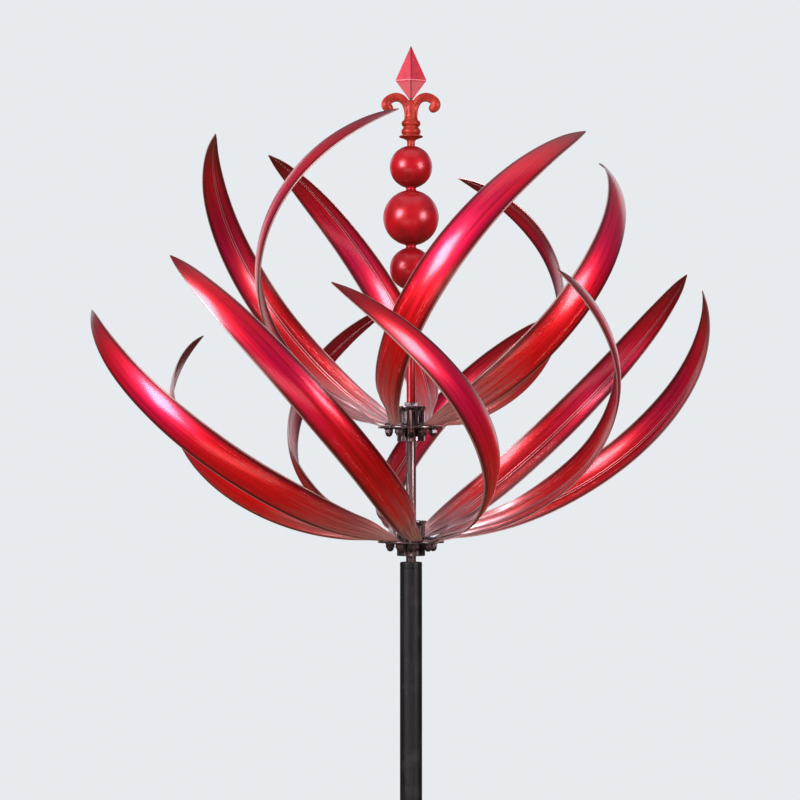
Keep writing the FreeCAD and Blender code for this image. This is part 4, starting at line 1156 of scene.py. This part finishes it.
def swept(path, radii, flatten, steps=20):
    """A round rod along a path in the XZ plane; flatten squeezes it front to back."""
    outlines = []
    for index, (x, z) in enumerate(path):
        ahead = heading(path, index)
        outline = []
        for step in range(steps):
            angle = 2 * pi * step / steps
            side = radii[index] * cos(angle)
            outline.append((x - ahead.y * side, radii[index] * flatten * sin(angle), z + ahead.x * side))
        outlines.append(outline)
    return stacked(outlines)


def ball_shape(centre, radius):
    profile = [(0, -radius)]
    for step in range(1, 16):
        angle = -pi / 2 + pi * step / 16
        profile.append((radius * cos(angle), radius * sin(angle)))
    profile.append((0, radius))
    return moved(turned(profile, 24), Matrix.Translation(centre))


# One arm of the casting, outwards and upwards from the foot of the stem: (out, up, half thickness).
ARM = [
    (2.7, 0.0, 3.9), (3.0, 5.0, 3.8), (3.8, 10.0, 3.8), (5.7, 15.2, 4.0), (9.1, 19.0, 4.1), (13.9, 20.7, 4.2),
    (18.6, 20.0, 4.3), (22.5, 17.6, 4.5), (24.7, 14.4, 4.9), (24.3, 11.6, 5.0), (22.4, 9.8, 4.6),
]
ARM_FLATTEN = 1.15
BEAD_OUT = 0.80
BEAD = 0.75
BEAD_STEPS = 8
BEAD_LIFT = 0.62
CASTING_VOXEL = 0.45


def arm_curve(samples=60):
    table = np.array(ARM)
    gaps = np.linalg.norm(np.diff(table[:, :2], axis=0), axis=1)
    knots = np.concatenate(([0], np.cumsum(gaps)))
    return natural_spline(knots, table, np.linspace(0, knots[-1], samples))


def make_scrolls(paint):
    """The casting above the waist: a stem that flares into two arms, each curled over and rolled under."""
    foot = span("finial_scrolls")[0]
    curve = arm_curve()
    parts = []
    for side in (-1, 1):
        path = [(side * x, foot + z) for x, z, _ in curve]
        radii = [half for _, _, half in curve]
        parts.append(swept(path, radii, ARM_FLATTEN))
        end = path[-1]
        parts.append(ball_shape((end[0], 0, end[1]), radii[-1] * 1.02))
        for reach in (BEAD_OUT, -BEAD_OUT):
            for depth in (-1, 1):
                bead = []
                for index, (x, z) in enumerate(path):
                    ahead = heading(path, index)
                    out = radii[index] * reach * side
                    bead.append((x - ahead.y * out, z + ahead.x * out))
                rim, faces = swept(bead, [BEAD] * len(bead), 1.0, BEAD_STEPS)
                lift = [half * ARM_FLATTEN * BEAD_LIFT * depth for half in radii for _ in range(BEAD_STEPS)]
                parts.append(([(x, y + dy, z) for (x, y, z), dy in zip(rim, lift)], faces))
    stem = [(0, foot), (6.6, foot), (6.4, foot + 1.2), (6.0, foot + 7), (5.6, foot + 12), (4.6, foot + 15.5),
            (3.0, foot + 17.6), (0, foot + 18.2)]
    parts.append(turned(softened(stem, 0.6), 48))
    casting = mesh_object("scrolled_casting", gathered(parts), paint)
    remesh = casting.modifiers.new("fused", "REMESH")
    remesh.mode = "VOXEL"
    remesh.voxel_size = CASTING_VOXEL * MM
    remesh.use_smooth_shade = True
    relax = casting.modifiers.new("cast_softness", "SMOOTH")
    relax.factor = 0.5
    relax.iterations = 3
    applied(casting)
    stand_for(casting, "stand", "finial_red", "finial_scrolls")


DIAMOND_FOOT, DIAMOND_TOP = span("finial_diamond")
DIAMOND_WAIST = DIAMOND_FOOT + 20
DIAMOND_HALF = 15.5
DIAMOND_FLATNESS = 14 / 31
DIAMOND_BELT = 1.0
DIAMOND_EASE = 0.35


def make_diamond(paint):
    """Two flattened four-sided pyramids on a thin belt, every edge eased."""
    rings = [(0.6, DIAMOND_FOOT), (DIAMOND_HALF, DIAMOND_WAIST), (DIAMOND_HALF, DIAMOND_WAIST + DIAMOND_BELT),
             (0.4, DIAMOND_TOP)]
    outlines = []
    for half, height in rings:
        swell = half * DIAMOND_FLATNESS
        outlines.append([(half, 0, height), (0, swell, height), (-half, 0, height), (0, -swell, height)])
    gem = mesh_object("faceted_diamond", stacked(outlines), paint)
    work = bmesh.new()
    work.from_mesh(gem.data)
    bmesh.ops.subdivide_edges(work, edges=work.edges[:], cuts=11, use_grid_fill=True)
    corners = [edge for edge in work.edges if edge.calc_face_angle(0) > 0.2]
    bmesh.ops.bevel(work, geom=corners, offset=DIAMOND_EASE * MM, segments=2, profile=0.6, affect="EDGES")
    work.to_mesh(gem.data)
    work.free()
    gem.data.shade_smooth()
    gem.data.set_sharp_from_angle(angle=SHARP_ANGLE)
    even_normals(gem)
    stand_for(gem, "stand", "finial_red", "finial_diamond")


# ---------------- everything together

def paint_nodes(material, *names):
    """A better material on CAD nodes that keep their shape."""
    for name in names:
        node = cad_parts[name]
        node.data.materials.clear()
        node.data.materials.append(material)


bpy.context.scene.view_settings.view_transform = "Standard"
make_camera()
for softbox in SOFTBOXES:
    make_softbox(*softbox)
make_world()
make_floor()

petal_paint = make_petal_paint()
ball_paint = make_ball_paint()
casting_paint = make_finial_paint()
diamond_paint = make_diamond_paint()
hub_paint = make_dark_paint(
    "hub_gloss_black", deep=(0.007, 0.004, 0.0035), wear_and_sheen_colour=(0.46, 0.32, 0.27), grain_scale=500,
    roughness=(0.12, 0.24), coat=1.0, metallic=0.2, specular=0.5, bump=0.05, pale_marks=0.75)
pole_paint = make_dark_paint(
    "pole_satin_black", deep=(0.0022, 0.0028, 0.0026), wear_and_sheen_colour=(0.02, 0.020, 0.019), grain_scale=1400,
    roughness=(0.38, 0.52), coat=0.10, metallic=0.0, specular=0.2, bump=0.2, pale_marks=0.1)
hardware_paint = make_dark_paint(
    "hardware_dark_bronze", deep=(0.009, 0.005, 0.004), wear_and_sheen_colour=(0.13, 0.08, 0.07), grain_scale=900,
    roughness=(0.20, 0.36), coat=0.5, metallic=0.3, specular=0.4, bump=0.15, pale_marks=0.4)
steel = make_steel()

make_petals(petal_paint)
for tier in ROTORS:
    make_hub(tier, hub_paint, hardware_paint)
    make_fasteners(tier, hardware_paint)
make_shaft_parts(hub_paint, hardware_paint)
make_pole(pole_paint, hardware_paint)
make_stake(pole_paint, hardware_paint)
make_balls(ball_paint)
make_finial_base(casting_paint)
make_scrolls(casting_paint)
make_diamond(diamond_paint)

paint_nodes(steel, "bearing_balls", "bearing_inner_races", "lower_outer_races", "upper_outer_races",
            "lower_bearing_shields", "upper_bearing_shields", "hub_inner_spacers")
paint_nodes(pole_paint, "pole_couplers")
